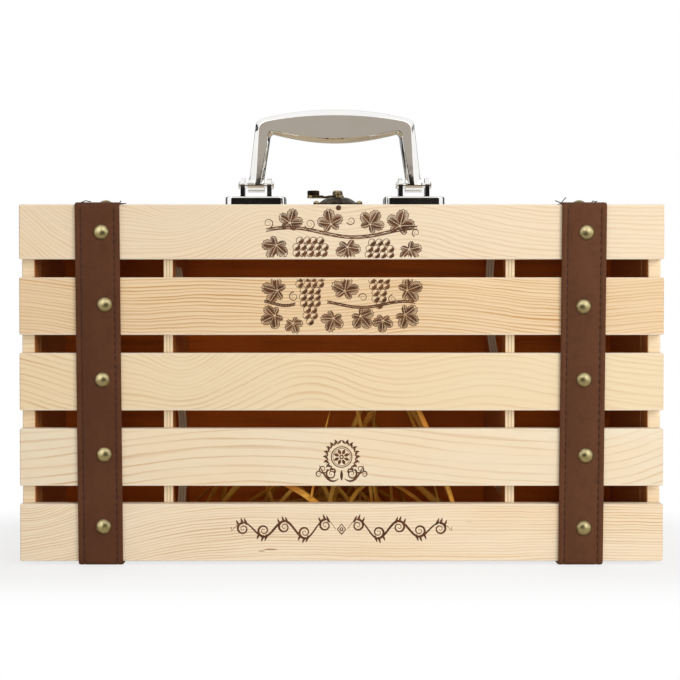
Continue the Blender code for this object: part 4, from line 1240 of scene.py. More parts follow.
# %% [markdown]
# ## Latch
#
# The half-moon plates, the hook and its posts are plated antique bronze: nearly black in the
# hollows, brassy where hands rub the edges. The finish is the one of the nails in other tones,
# and a function marks the narrow faces, such as bevels, as rubbed.

# %% Antique bronze
BRONZE = antique("antique bronze", linear(34, 22, 17), linear(160, 142, 108), 0.12)
BROWNED = antique("browned pin", linear(84, 50, 24), linear(190, 140, 84), 0.5, 0.2)
LATCH_BRASS = antique("latch brass", linear(58, 50, 28), linear(206, 190, 144), 0.22)
RUBBED_EDGE, HOLLOW = 0.75, 0.12


def rub_edges(piece, reach):
    """Mark the points that belong to a narrow face, such as a bevel, as rubbed."""
    mesh = piece.data
    narrow = set()
    for face in mesh.polygons:
        corners = [mesh.vertices[i].co for i in face.vertices]
        sides = [(a - b).length for a, b in zip(corners, corners[1:] + corners[:1])]
        if len(corners) == 4 and min(sides) < reach:
            narrow.update(face.vertices)
    layer = mesh.attributes.new("crown", "FLOAT", "POINT")
    for index, item in enumerate(layer.data):
        item.value = RUBBED_EDGE if index in narrow else HOLLOW


print("finishes", BRONZE.name, BROWNED.name, LATCH_BRASS.name)

# %% [markdown]
# ### Plates, posts and hook
#
# The plates are stamped from sheet, so their flank swells before it meets the wood. The model
# has a plain cone there, in rings, and each ring is moved outward by a small table of radii.
# The posts and the hook get a narrow bevel, which is what shines on the real ones.

# %% Plates, posts and hook
RUBBED, POST_EASE = 0.3 * MM, 0.25 * MM
# Each radius in mm, and the one that it is moved to.
DISH_SPREAD = (
    (5.6, 5.6), (6.53, 6.4), (7.47, 7.9), (8.4, 9.4), (9.33, 10.7), (10.27, 11.3), (11.2, 11.55),
    (11.65, 11.65),
)


def swell_dish(plate):
    """Let the flank of a dished plate bulge outward, ring by ring, down to its foot."""
    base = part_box("latch_base_plate")
    middle_x = (base[0].x + base[1].x) / 2
    seam = (base[0].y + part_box("latch_keeper_plate")[1].y) / 2
    for vert in plate.data.vertices:
        x, y = vert.co.x - middle_x, vert.co.y - seam
        radius = math.hypot(x, y) / MM
        for (near, near_new), (far, far_new) in zip(DISH_SPREAD, DISH_SPREAD[1:]):
            if near < radius <= far:
                spread = near_new + (far_new - near_new) * (radius - near) / (far - near)
                vert.co.x = middle_x + x * spread / radius
                vert.co.y = seam + y * spread / radius


for node, body, width, reshape in (
    ("latch_base_plate", "case", 0.0, swell_dish),
    ("latch_keeper_plate", "lid", 0.0, swell_dish),
    ("latch_rivet", "case", POST_EASE, None),
    ("latch_stud", "lid", POST_EASE, None),
    ("latch_hook", "hook", POST_EASE, None),
):
    piece = refined(node, BRONZE, body, 40, width, reshape)
    rub_edges(piece, RUBBED)
    print(piece.name, len(piece.data.polygons), "faces")

# %% [markdown]
# ### The brown pin
#
# A small round pin sits in the top slat under the latch. Its crown attribute is high only near
# the middle, so that one pale point there is a painted highlight.

# %% The small brown pin in the top slat
PIN_SHINE = 0.8 * MM
pin = refined("slat_pin", BROWNED, "lid", 40)
low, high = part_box("slat_pin")
middle = Vector(((low.x + high.x) / 2, low.y, (low.z + high.z) / 2))
# Painted highlight: one pale point at the middle of the pin's head.
mark_crown(pin, lambda co: 0.9 if (co - middle).length < PIN_SHINE else 0.1)
print("pin at", [round(v / MM, 1) for v in middle])

# %% [markdown]
# ### The knob
#
# The knob that one turns is knurled. It starts as a cylinder whose every second side face is
# inset and pushed out, and its top is hollowed and raised again by two insets.

# %% The knurled knob
KNOB_FLUTES, FLUTE_RISE, FLUTE_SHARE = 22, 1.09, 0.8
FLUTE_INSET, FLUTE_EASE = 0.08 * MM, 0.12 * MM
KNOB_SPARE, KNOB_GAP = 0.6 * MM, 0.1 * MM
TOP_RIM, TOP_HOLLOW = 0.7 * MM, 0.25 * MM
BUTTON_INSET, BUTTON_RISE = 0.5 * MM, 0.2 * MM
STEM_RADIUS, STEM_SPARE = 0.95 * MM, 0.2 * MM


def knurled_knob():
    """A fluted cap with a hollowed top and a low button in it, on a thin stem."""
    low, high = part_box("latch_knob")
    radius = (high.x - low.x) / 2
    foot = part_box("latch_hook")[1].z + KNOB_GAP
    top = high.z - KNOB_SPARE
    centre = Vector(((low.x + high.x) / 2, (low.y + high.y) / 2, (foot + top) / 2))
    knob = start_from(
        bpy.ops.mesh.primitive_cylinder_add,
        vertices=2 * KNOB_FLUTES, radius=radius / FLUTE_RISE, depth=top - foot, location=centre,
    )
    freeze(knob)
    edit(knob)

    def is_flute(face):
        way = face.calc_center_median() - centre
        turn = math.atan2(way.y, way.x) % (2 * math.pi)
        return abs(face.normal.z) < 0.5 and int(turn / (math.pi / KNOB_FLUTES)) % 2 == 0

    choose(knob, "faces", is_flute)
    bpy.ops.mesh.inset(thickness=FLUTE_INSET, use_individual=True)
    bpy.ops.transform.resize(value=(FLUTE_RISE, FLUTE_RISE, FLUTE_SHARE), center_override=centre)
    choose_none()
    choose(knob, "faces", lambda f: abs(f.normal.z) > 0.9 and f.calc_center_median().z > centre.z)
    bpy.ops.mesh.inset(thickness=TOP_RIM)
    bpy.ops.transform.translate(value=(0, 0, -TOP_HOLLOW))
    bpy.ops.mesh.inset(thickness=BUTTON_INSET)
    bpy.ops.transform.translate(value=(0, 0, BUTTON_RISE))
    leave_edit()
    ease(knob, FLUTE_EASE, 2, 30)
    stem = start_from(
        bpy.ops.mesh.primitive_cylinder_add,
        vertices=20, radius=STEM_RADIUS, depth=foot - low.z + STEM_SPARE,
        location=(centre.x, centre.y, (foot + low.z + STEM_SPARE) / 2),
    )
    knob = join("latch_knob_knurled", [stem, knob])
    settle(knob, "latch_knob_knurled", BRONZE, 35)
    rub_edges(knob, 0.05 * MM)
    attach(knob, "hook")
    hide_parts("latch_knob")
    return knob


knob = knurled_knob()
print("knob faces", len(knob.data.polygons))

# %% [markdown]
# ### Latch nails
#
# Three small nails hold each plate. Two are round heads, cut from a sphere by a bisect, and the
# one at the middle of the plate's edge is hammered flat.

# %% The small round nails that hold the half-moon plates
LATCH_NAIL_RING, LATCH_NAIL_ANGLES = 12.3 * MM, (15, 90, 165)
LATCH_NAIL_RADIUS, LATCH_NAIL_SUNK = 1.8 * MM, 0.35 * MM
FLAT_NAIL_RISE, FLAT_NAIL_SHARE = 0.35 * MM, 0.8
LATCH_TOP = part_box("latch_base_plate")[0].z + 0.9 * MM


def latch_nail(flat, inward):
    """A round head, paler towards its top on the side towards the hook as a painted highlight, or
    one hammered flat.
    """
    head = start_from(
        bpy.ops.mesh.primitive_uv_sphere_add,
        segments=24, ring_count=16, radius=LATCH_NAIL_RADIUS, location=(0, 0, 0),
    )
    edit(head)
    choose_all()
    bpy.ops.mesh.bisect(
        plane_co=(0, 0, -LATCH_NAIL_SUNK), plane_no=(0, 0, 1), clear_inner=True, use_fill=True
    )
    choose_all()
    bpy.ops.transform.translate(value=(0, 0, LATCH_NAIL_SUNK))
    if flat:
        squash = FLAT_NAIL_RISE / (LATCH_NAIL_RADIUS + LATCH_NAIL_SUNK)
        shares = (FLAT_NAIL_SHARE, FLAT_NAIL_SHARE, squash)
        bpy.ops.transform.resize(value=shares, center_override=(0, 0, 0))
    leave_edit()
    top = max(v.co.z for v in head.data.vertices)
    # Painted highlight: the round heads are paler towards their top and on the side towards the
    # hook.
    shine = 0 if flat else 0.8
    mark_crown(head, lambda co: 0.05 + shine * co.z / top * (0.5 + 0.5 * inward * co.x / top))
    return head


def latch_nails(name, node, toward, body):
    """Two round heads at the ends of one plate and a flat one at its middle."""
    low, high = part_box(node)
    seam = high.y if toward < 0 else low.y
    middle = (low.x + high.x) / 2
    pieces = []
    for angle in LATCH_NAIL_ANGLES:
        turn = math.radians(angle)
        head = latch_nail(angle == 90, -1 if angle < 90 else 1)
        aside, out = LATCH_NAIL_RING * math.cos(turn), LATCH_NAIL_RING * math.sin(turn)
        head.location = (middle + aside, seam + toward * out, LATCH_TOP)
        pieces.append(settle(head, name, LATCH_BRASS, 60))
    nails = join(name, pieces)
    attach(nails, body)
    return nails


for name, node, toward, body in (
    ("latch_base_nails", "latch_base_plate", 1, "case"),
    ("latch_keeper_nails", "latch_keeper_plate", -1, "lid"),
):
    nails = latch_nails(name, node, toward, body)
    print(name, len(nails.data.polygons), "faces")

# %% [markdown]
# ## Hinges
#
# Two butt hinges lie under the seam. Their leaves and pins keep the model's shape and get the
# brassy finish of the nails, evenly worn.

# %% Leaves and pins
for side in ("left", "right"):
    for part, body in (("case_leaf", "case"), ("lid_leaf", "lid"), ("pin", "case")):
        piece = refined(f"{side}_hinge_{part}", BRASS, body, 40)
        mark_crown(piece, lambda co: 0.45)
        print(piece.name, len(piece.data.polygons), "faces")

# %% [markdown]
# ### Screws and small pins
#
# Each hinge leaf is held by two screws, whose flat heads stand a little proud of it, and the
# back panel by a row of small pins along each edge. One head of each kind is modelled and
# copied to all its places. The slot takes two bisects and an extrusion into the head.

# %% Screws of the hinge leaves, and pins of the back panel
SCREW_RADIUS, SCREW_DEPTH, SCREW_SPREAD = 1.9 * MM, 1.1 * MM, 7 * MM
SLOT_HALF, SLOT_DEPTH = 0.28 * MM, 0.3 * MM
SCREW_FLOOR_GAP = 0.6 * MM
PANEL_PIN_RADIUS, PANEL_PIN_RISE, PANEL_PIN_INSET = 1.0 * MM, 0.2 * MM, 5 * MM
PANEL_PIN_COLUMNS = [v * MM for v in (-100, -60, -20, 20, 60, 100)]
PANEL_PIN_ROWS = 5


def flat_head(radius, depth, slotted):
    """A short cylinder about the origin, with a slot across its lower face if it has one."""
    head = start_from(
        bpy.ops.mesh.primitive_cylinder_add,
        vertices=20, radius=radius, depth=depth, location=(0, 0, 0),
    )

    def in_slot(face):
        return face.normal.z < -0.9 and abs(face.calc_center_median().y) < SLOT_HALF

    if slotted:
        edit(head)
        for side in (-1, 1):
            choose_all()
            bpy.ops.mesh.bisect(plane_co=(0, side * SLOT_HALF, 0), plane_no=(0, 1, 0))
        choose_none()
        choose(head, "faces", in_slot)
        extrude(0, 0, SLOT_DEPTH)
        leave_edit()
    return head


def screw_places(side, toward):
    """Both screws of one leaf, each turned a little differently."""
    low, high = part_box(f"{side}_hinge_pin")
    x, seam = (low.x + high.x) / 2, (low.y + high.y) / 2
    height = SCREW_FLOOR_GAP + SCREW_DEPTH / 2
    places = []
    for count, step in enumerate((-1, 1)):
        spot = (x + step * SCREW_SPREAD, seam + toward * SCREW_SPREAD, height)
        turn = Matrix.Rotation(math.radians(35 + 70 * count + x / MM), 4, "Z")
        places.append(Matrix.Translation(spot) @ turn)
    return places


def panel_pin_places():
    """Places along the four edges of the back panel, each facing back."""
    low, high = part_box("back_panel")
    left, right = low.x + PANEL_PIN_INSET, high.x - PANEL_PIN_INSET
    bottom, tall = low.z + PANEL_PIN_INSET, high.z - low.z - 2 * PANEL_PIN_INSET
    columns = [left, *PANEL_PIN_COLUMNS, right]
    rows = [bottom + tall * k / (PANEL_PIN_ROWS - 1) for k in range(PANEL_PIN_ROWS)]
    places = []
    for column, x in enumerate(columns):
        for row, z in enumerate(rows):
            if column in (0, len(columns) - 1) or row in (0, len(rows) - 1):
                spot = Matrix.Translation((x, high.y + PANEL_PIN_RISE - SCREW_DEPTH / 2, z))
                places.append(spot @ facing((0, 1, 0)))
    return places


SCREW_SHINE, TACK_SHINE = 0.4, 0.3
screw = flat_head(SCREW_RADIUS, SCREW_DEPTH, True)
for side in ("left", "right"):
    for part, body, toward in (("case", "case", 1), ("lid", "lid", -1)):
        heads = many(f"{side}_hinge_{part}_screws", screw, screw_places(side, toward), BRASS)
        mark_crown(heads, lambda co: SCREW_SHINE)
        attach(heads, body)
bpy.data.objects.remove(screw)
tack = flat_head(PANEL_PIN_RADIUS, SCREW_DEPTH, False)
pin_places = panel_pin_places()
tacks = many("back_panel_pins", tack, pin_places, BRONZE)
mark_crown(tacks, lambda co: TACK_SHINE)
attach(tacks, "case")
bpy.data.objects.remove(tack)
print("panel pins", len(pin_places))

# %% [markdown]
# ## Straw
#
# The lower bottle lies on loose golden straw. Each straw is a flat ribbon that curls and
# twists: a curve with an extrusion and a thin bevel, whose tilt and radius change from point
# to point. The ribbons are thrown down between the holders with a fixed random seed, so that
# they are the same on every run. Most of them lie near the floor, some arch up a little, and a
# few stand tall.

# %% Straw ribbons
STRAW_COUNT, STRAW_POINTS, STRAW_SEED = 56, 14, 7
STRAW_SHIFT = 8 * MM
TALL_EVERY, MIDDLE_EVERY = 13, 3
LOW_RISE, MIDDLE_RISE, TALL_RISE = (2, 10), (26, 46), (76, 92)
STRAW_HALF_WIDTH, STRAW_HALF_THICK = 1.4 * MM, 0.09 * MM
STRAW_WALL_GAP, STRAW_BED = 4 * MM, 7 * MM


def straw_finish():
    straw = Finish("dry straw", roughness=0.45)
    streak = straw.noise(straw.stretched((60, 60, 500)), 1.0, 3.0, 0.6)
    cloud = straw.noise(straw.stretched((60, 60, 60)), 1.0, 2.0)
    tone = straw.mix(straw.ramp(cloud, 0.3, 0.7), linear(200, 126, 36), linear(224, 168, 68))
    tone = straw.mix(straw.ramp(streak, 0.5, 0.8) * 0.5, tone, linear(130, 72, 22))
    straw.paint("Base Color", tone)
    straw.paint("Roughness", 0.35 + streak * 0.25)
    straw.bump(streak, 0.06 * MM)
    return straw.material


def straw_path(rng, count, low, high):
    """One ribbon inside a box: x, y, z, tilt and width of each of its points."""
    tall = count % TALL_EVERY == 0
    reach = rng.uniform(34, 62) * MM * (0.9 if tall else 1.0)
    rise = rng.uniform(*LOW_RISE)
    if tall:
        rise = rng.uniform(*TALL_RISE)
    elif count % MIDDLE_EVERY == 1:
        rise = rng.uniform(*MIDDLE_RISE)
    way = rng.uniform(-1.2, 1.2)
    curl = rng.uniform(-0.8, 0.8)
    spare = 1.25 * reach if tall else 0.8 * reach
    middle = Vector((
        rng.uniform(low.x + spare, high.x - spare),
        rng.uniform(low.y + STRAW_WALL_GAP, high.y - STRAW_WALL_GAP),
        low.z + rng.random() ** 1.5 * STRAW_BED,
    ))
    turn, twist = rng.uniform(-0.7, 0.7), rng.uniform(-0.9, 0.9)
    points = []
    for step in range(STRAW_POINTS):
        share = 2 * step / (STRAW_POINTS - 1) - 1
        angle = way + curl * share
        x = low.x + high.x - middle.x - share * reach * math.cos(angle) - STRAW_SHIFT
        y = middle.y + 0.5 * share * reach * math.sin(angle)
        z = middle.z + (rise * (1 - abs(share) ** 1.7) + rng.uniform(-0.4, 0.4)) * MM
        x, y = min(max(x, low.x), high.x), min(max(y, low.y), high.y)
        points.append((x, y, max(z, low.z), turn + twist * share))
    wide = rng.uniform(0.55, 1.25)
    widths = [wide * 0.5] + [wide] * (STRAW_POINTS - 2) + [wide * 0.5]
    return [(*point, width) for point, width in zip(points, widths)]


def throw_straw(name):
    rng = random.Random(STRAW_SEED)
    spare = STRAW_HALF_WIDTH + 0.4 * MM
    low = Vector((
        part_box("case_left_holder")[1].x + spare,
        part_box("slat_1")[1].y + spare,
        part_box("case_bottom_board")[1].z + spare,
    ))
    high = Vector((
        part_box("case_right_holder")[0].x - spare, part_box("back_panel")[0].y - spare, 1,
    ))
    paths = [straw_path(rng, count, low, high) for count in range(STRAW_COUNT)]
    return strands(
        name, paths, STRAW_HALF_THICK,
        extrude=STRAW_HALF_WIDTH, bevel_resolution=0, twist_mode="Z_UP",
    )


straw = settle(throw_straw("straw_strands"), "straw_strands", straw_finish(), 50)
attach(straw, "case")
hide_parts("straw_bed")
print("straw faces", len(straw.data.polygons))

# %% [markdown]
# ## Burnt ornaments
#
# The front carries ornaments burnt into the wood: a vine over the two upper slats, a rosette
# in a wreath, and a long flourish below. They are drawn as a pen would draw them, in strokes
# that swell and thin out. A curve with a radius at every point makes such a stroke, and it is
# then pressed flat until it lies 0.03 mm proud of the wood, which is too little to see as
# relief. Strokes stop short of slat edges. An image texture would be the other way to do it,
# but strokes stay sharp at any distance and need no picture file.

# %% A sketch made of strokes
INK_DEPTH = 0.03 * MM
EDGE_SPARE = 0.8
LEAST_PRESS = 0.22


def pressure(style, share):
    """How hard the pen presses at a share of its stroke."""
    if style == "taper":
        return 1 - share
    return math.sin(math.pi * share) ** 0.7 if style == "swell" else 1


class Sketch:
    """Pen strokes on the front of one slat. Places and widths are in mm."""

    def __init__(self, name, slat):
        self.name = name
        low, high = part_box(slat)
        self.front = low.y
        self.bottom, self.top = low.z / MM + EDGE_SPARE, high.z / MM - EDGE_SPARE
        self.strokes = []

    def stroke(self, points, width, style="swell"):
        """Add a stroke, leaving out what lies off the slat."""
        last = max(len(points) - 1, 1)
        part = []
        for count, (x, z) in enumerate(points):
            press = max(pressure(style, count / last), LEAST_PRESS)
            if self.bottom < z < self.top:
                part.append((x * MM, 0, z * MM, 0, width * press / 2))
            else:
                self.strokes.append(part)
                part = []
        self.strokes.append(part)

    def dot(self, x, z, radius):
        self.stroke([(x - radius * 0.3, z), (x + radius * 0.3, z)], 2 * radius, "even")

    def engrave(self, material):
        """Turn the strokes into one thin closed mesh on the slat."""
        long_enough = [part for part in self.strokes if len(part) > 1]
        lines = strands(self.name, long_enough, MM, bevel_resolution=0)
        deepest = max(abs(v.co.y) for v in lines.data.vertices)
        lines.scale.y = INK_DEPTH / deepest
        lines.location.y = self.front
        settle(lines, self.name, material, 20)
        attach(lines, "lid")
        print(self.name, len(lines.data.polygons), "faces")
        return lines


def burnt_wood():
    char = Finish("burnt line", roughness=0.8)
    cloud = char.noise(char.stretched((110, 110, 260)), 1.0, 3.0, 0.6)
    grain = char.noise(char.stretched((60, 900, 900)), 1.0, 2.0)
    tone = char.mix(char.ramp(cloud, 0.3, 0.7), linear(72, 40, 20), linear(104, 64, 36))
    tone = char.mix(char.ramp(grain, 0.5, 0.75) * 0.3, tone, linear(140, 98, 60))
    char.paint("Base Color", tone)
    char.bump(grain, 0.05 * MM)
    return char.material


BURNT = burnt_wood()
print("finish", BURNT.name)

# %% [markdown]
# ### Motifs
#
# The vine needs leaves, berries, tendrils and a stem. Each is a function that adds strokes to a
# sketch, so a motif is designed once and drawn in many sizes and turns. The leaf is shaded as
# in a woodcut: barbs run from each vein to the edge, and between them the vein stays pale.

# %% Things a pen draws: spirals, leaves and grapes
def spiral(x, z, radii, start, turns, steps=26):
    """Points of a spiral from the first radius to the second, angles in degrees."""
    points = []
    for count in range(steps + 1):
        share = count / steps
        angle = math.radians(start + 360 * turns * share)
        radius = radii[0] + (radii[1] - radii[0]) * share
        points.append((x + radius * math.cos(angle), z + radius * math.sin(angle)))
    return points


def leaf_reach(angle):
    """Outline of a vine leaf with five lobes: its reach at each angle from the tip."""
    lobes = abs(math.cos(2.5 * angle)) ** 0.55
    notch = 1 - 0.5 * math.exp(-((abs(angle) - math.pi) / 0.35) ** 2)
    teeth = 1 + 0.05 * math.sin(29 * angle)
    return (0.52 + 0.48 * lobes) * notch * teeth * (1 - 0.07 * angle * angle)


VEINS = (0, 1.26, -1.26, 2.4, -2.4)
VEIN_GAP, BARB_PITCH = 0.2, 0.62
BARB_LEAN, BARB_STEP, LOBE_HALF = 0.75, 0.25, 0.62
LEAF_EDGE, HEAVY_BARB, LIGHT_BARB = 0.42, 0.74, 0.5


def barb(size, vein, side, share):
    """A stroke from a vein out to the leaf's edge: its points, with the leaf's tip along +X."""
    reach = share * size * leaf_reach(vein)
    u, v = reach * math.cos(vein), reach * math.sin(vein)
    u, v = u - side * VEIN_GAP * math.sin(vein), v + side * VEIN_GAP * math.cos(vein)
    way = vein + side * BARB_LEAN
    length = 0.0
    while length < size:
        tip = (u + length * math.cos(way), v + length * math.sin(way))
        angle = math.atan2(tip[1], tip[0])
        outside = math.hypot(*tip) > 0.96 * size * leaf_reach(angle)
        if outside or side * (angle - vein) > LOBE_HALF or abs(angle) > 3.0:
            break
        length += BARB_STEP
    middle = ((u + tip[0]) / 2, (v + tip[1]) / 2)
    return [(u, v), middle, tip]


def draw_leaf(sketch, x, z, size, turn, shade):
    """A leaf cut like a woodcut: the veins stay pale between barbs, heavier on one side."""
    way = math.radians(turn)

    def place(points):
        cos, sin = math.cos(way), math.sin(way)
        return [(x + u * cos - v * sin, z + u * sin + v * cos) for u, v in points]

    outline = []
    for k in range(91):
        angle = math.pi * (k / 45 - 1)
        reach = size * leaf_reach(angle)
        outline.append((reach * math.cos(angle), reach * math.sin(angle)))
    sketch.stroke(place(outline), LEAF_EDGE, "even")
    for vein in VEINS:
        count = round(size * leaf_reach(vein) / BARB_PITCH)
        for side in (-1, 1):
            width = HEAVY_BARB if side == shade else LIGHT_BARB
            for k in range(count):
                points = barb(size, vein, side, 0.06 + 0.86 * k / count)
                sketch.stroke(place(points), width, "taper")


def draw_leaves(sketch, leaves):
    """Several leaves, each given by its x, z, size, turn in degrees and shaded side."""
    for x, z, size, turn, shade in leaves:
        draw_leaf(sketch, x, z, size, turn, shade)


def draw_tendrils(sketch, tendrils):
    """Curling shoots: x, z, the first and last radius, the start in degrees and the turns."""
    for x, z, radii, start, turns in tendrils:
        sketch.stroke(spiral(x, z, radii, start, turns), TENDRIL_WIDTH, "taper")


GRAPE_EDGE, BARK_WIDTH, TENDRIL_WIDTH = 0.34, 0.5, 0.6
GRAPE_PITCH, ROW_PITCH = 1.95, 1.74


def draw_grape(sketch, x, z, radius):
    """A round berry with its lower right in shade and a pale spot at its upper left."""
    sketch.stroke(spiral(x, z, (radius, radius), 0, 1, 18), GRAPE_EDGE, "even")
    for share, width, start in ((0.64, 0.62, -140), (0.28, 0.42, -160)):
        arc = spiral(x, z, (radius * share, radius * share), start, 0.56, 10)
        sketch.stroke(arc, width * radius)


def draw_bunch(sketches, x, z, rows, radius, rng):
    """A hanging bunch, drawn on every slat that it passes."""
    for row, count in enumerate(rows):
        for place in range(count):
            across = (place - (count - 1) / 2) * GRAPE_PITCH * radius + rng.uniform(-0.3, 0.3)
            down = ROW_PITCH * radius * row + rng.uniform(-0.2, 0.2)
            for sketch in sketches:
                draw_grape(sketch, x + across, z - down, radius)


def draw_vine(sketch, path, width):
    """A twisting stem: two edges and short strokes of bark between them."""
    for side in (-1, 1):
        sketch.stroke([(x, z + side * width / 2) for x, z in path], BARK_WIDTH, "even")
    for count in range(0, len(path) - 3):
        x, z = path[count]
        ahead = path[count + 3]
        lift = 0.3 * width * math.sin(count * 1.9)
        middle = ((x + ahead[0]) / 2, (z + ahead[1]) / 2 + lift)
        sketch.stroke([(x, z + lift), middle, (ahead[0], ahead[1] + lift)], BARK_WIDTH)


def wave(start, end, height, swing, turns, shift):
    """Points of a wavy line from one x to another."""
    points = []
    for k in range(61):
        share = k / 60
        z = height + swing * math.sin(share * turns + shift)
        points.append((start + (end - start) * share, z))
    return points

# %% [markdown]
# ### The vine
#
# It crosses the gap between the two upper slats, so there are two sketches, and a bunch of
# grapes is drawn in both: each keeps the strokes that lie on its own slat.

# %% The vine over the two upper slats
GRAPE_RADIUS = 1.95
BUNCH_LEFT = (4, 5, 5, 4, 4, 4, 4, 4, 3, 3, 3, 2, 2, 1)
BUNCH_RIGHT = (3, 4, 4, 4, 4, 4, 3, 3, 2, 2, 1)
UPPER_LEAVES = (
    (-35.4, 173.8, 8.6, -115, 1), (-28, 186.0, 7.6, 75, -1), (-6.0, 185.4, 8.0, 100, 1),
    (3.2, 172.8, 7.8, -80, -1), (15.5, 185.2, 8.2, 60, -1), (31.5, 184.4, 8.8, 75, 1),
    (36.6, 171.6, 7.4, -60, -1),
)
UPPER_TENDRILS = (
    (-17.2, 185.4, (3.0, 0.5), 200, 1.7), (-39.8, 185.8, (2.8, 0.5), 270, 1.6),
    (5.0, 187.2, (2.4, 0.4), 200, 1.5), (40.2, 180.6, (2.2, 0.4), 250, -1.6),
)
LOWER_LEAVES = (
    (-35.0, 149.2, 8.4, 165, 1), (-36.4, 135.6, 7.8, 205, -1), (-26.4, 131.6, 5.8, -70, 1),
    (1.6, 149.0, 8.6, 80, 1), (-4.6, 134.2, 7.4, -110, -1), (10.4, 135.4, 7.8, -50, 1),
    (35.6, 149.4, 8.4, 20, -1), (34.4, 136.2, 8.2, -35, 1), (22.4, 133.0, 6.4, -95, -1),
)
LOWER_TENDRILS = (
    (-26.0, 146.0, (2.6, 0.5), 90, 1.7), (11.6, 145.6, (2.4, 0.4), 180, -1.6),
    (27.6, 144.6, (2.4, 0.4), 90, 1.6),
)
upper = Sketch("vine_engraving_upper", "slat_5")
lower = Sketch("vine_engraving_lower", "slat_4")
rng = random.Random(11)
draw_vine(upper, wave(-41, 41, 180.8, 2.6, 7.2, 0.5), 1.5)
draw_leaves(upper, UPPER_LEAVES)
draw_tendrils(upper, UPPER_TENDRILS)
draw_bunch((upper, lower), -17, 176.4, BUNCH_LEFT, GRAPE_RADIUS, rng)
draw_bunch((upper, lower), 20.5, 175.4, BUNCH_RIGHT, GRAPE_RADIUS, rng)
draw_leaves(lower, LOWER_LEAVES)
draw_vine(lower, wave(-42, -25, 142.4, 1.2, 4.0, 2.0), 1.2)
draw_vine(lower, wave(-8, 40, 141.8, 1.6, 6.4, 2.2), 1.2)
draw_tendrils(lower, LOWER_TENDRILS)
upper.engrave(BURNT)
lower.engrave(BURNT)

# %% [markdown]
# ### The rosette
#
# Two rings, a heart and eight petals make the flower. Round it stand two branches of small
# leaves, with three curls below each. What is on the right is drawn once more, mirrored, on
# the left.

# %% The rosette in its wreath
ROSETTE_X, ROSETTE_Z = 0.0, 58.8
ROSETTE_RINGS = ((5.6, 0.55), (4.7, 0.3), (0.9, 0.7))
PETALS, PETAL_FOOT, PETAL_LENGTH = 8, 1.5, 2.9
WREATH_RADIUS, WREATH_LEAVES, WREATH_START, WREATH_STEP = 7.4, 9, -62, 17
WREATH_LEAF, WREATH_LEANS = 2.9, (-0.35, 1.0)
WREATH_CURLS = (
    (5.6, -9.2, 2.9, 60, -1.6, 1.1), (10.2, -6.6, 2.3, 230, 1.5, 0.9),
    (12.4, -9.4, 1.7, 100, -1.3, 0.8),
)


def ahead(foot, way, reach, side=1):
    """The point that lies this far from a foot, on the right or mirrored on the left."""
    return foot[0] + side * reach * math.cos(way), foot[1] + reach * math.sin(way)


rosette = Sketch("rosette_engraving", "slat_2")
heart = (ROSETTE_X, ROSETTE_Z)
for radius, width in ROSETTE_RINGS:
    rosette.stroke(spiral(*heart, (radius, radius), 0, 1, 40), width, "even")
for count in range(PETALS):
    way = math.radians(45 * count + 22.5)
    petal = [ahead(heart, way, PETAL_FOOT + PETAL_LENGTH * k / 8) for k in range(9)]
    rosette.stroke(petal, 1.7)
for side in (-1, 1):
    for count in range(WREATH_LEAVES):
        angle = math.radians(WREATH_START + WREATH_STEP * count)
        foot = ahead(heart, angle, WREATH_RADIUS, side)
        for lean in WREATH_LEANS:
            leaf = [ahead(foot, angle + lean, WREATH_LEAF * s, side) for s in (0, 0.5, 1)]
            rosette.stroke(leaf, 1.35)
    for x, drop, radius, start, turns, width in WREATH_CURLS:
        curl = spiral(0, 0, (radius, 0.3), start, turns)
        points = [(ROSETTE_X + side * (x + u), ROSETTE_Z + drop + v) for u, v in curl]
        rosette.stroke(points, width, "taper")
    rosette.stroke([(side * (1.6 + 1.5 * k), 47.0 + 0.35 * k * (k - 4)) for k in range(8)], 1.2)
rosette.stroke([(0, 46.0 + 0.8 * k) for k in range(8)], 1.6)
rosette.engrave(BURNT)

# %% [markdown]
# ### The flourish
#
# A wave runs out to both sides, a little lower at every crest. A curl hangs inside each of its
# crests, and three small leaves spring from the line there.

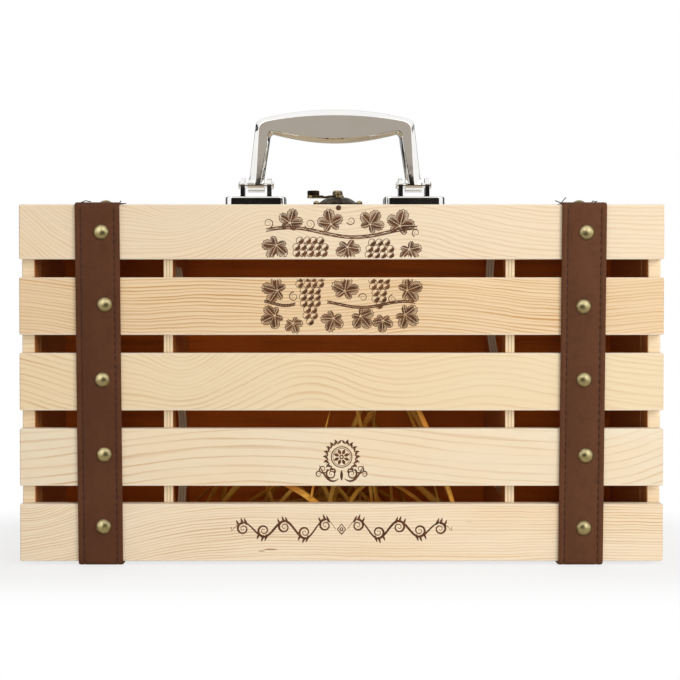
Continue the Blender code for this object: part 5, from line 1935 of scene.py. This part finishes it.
# %% The long flourish
FLOURISH_Z = 19.4
WAVE_START, WAVE_LENGTH, HALF_WAVE = 3.2, 57.0, 11.2
SWING, SWING_LOSS = 5.8, 0.042
CRESTS, CURL_RADIUS, CURL_END = 5, 3.3, 0.4
CREST_LEAVES = ((2.6, 3.6, 1.5), (0.4, 3.0, 1.3), (-2.2, 2.6, 1.2))
LEAF_LEAN, LEAF_SUNK = 0.55, 0.3


def swing_at(x):
    return SWING - SWING_LOSS * x


def wave_at(x):
    return swing_at(x) * math.sin(math.pi * (x - WAVE_START) / HALF_WAVE)


def mirrored(points, side):
    """Points about the flourish's middle, put on the slat at the right or the left."""
    return [(side * x, FLOURISH_Z + z) for x, z in points]


def crest_leaf(foot_x, reach, up):
    """A leaf that bends up or down from the wave."""
    points = []
    for share in (0, 0.35, 0.7, 1):
        lift = up * (reach * share * share - LEAF_SUNK)
        points.append((foot_x + LEAF_LEAN * reach * share, wave_at(foot_x) + lift))
    return points


flourish = Sketch("flourish_engraving", "slat_1")
for side in (-1, 1):
    along = [WAVE_START + WAVE_LENGTH * k / 100 for k in range(101)]
    flourish.stroke(mirrored([(x, wave_at(x)) for x in along], side), 1.25)
    for count in range(CRESTS):
        up = 1 if count % 2 == 0 else -1
        x = WAVE_START + HALF_WAVE * (count + 0.5)
        middle = up * (swing_at(x) - CURL_RADIUS)
        curl = spiral(x, middle, (CURL_RADIUS, CURL_END), 90 * up, -1.7 * up, 34)
        flourish.stroke(mirrored(curl, side), 1.35, "taper")
        for back, reach, width in CREST_LEAVES:
            flourish.stroke(mirrored(crest_leaf(x - back, reach, up), side), width)
    flourish.dot(side * 60.0, FLOURISH_Z + 0.6, 0.6)
for size in (1.1, 2.8):
    corners = [(0, -size), (size * 0.8, 0), (0, size), (-size * 0.8, 0), (0, -size)]
    flourish.stroke(mirrored(corners, 1), 0.7, "even")
flourish.engrave(BURNT)

# %% [markdown]
# ## Measure
#
# The dressed box has to keep to the model's own size, so both sizes are measured and written
# down together.

# %% Measure the result and finish
low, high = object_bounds()
print("visual model in mm:", [round(v / MM, 1) for v in high - low])
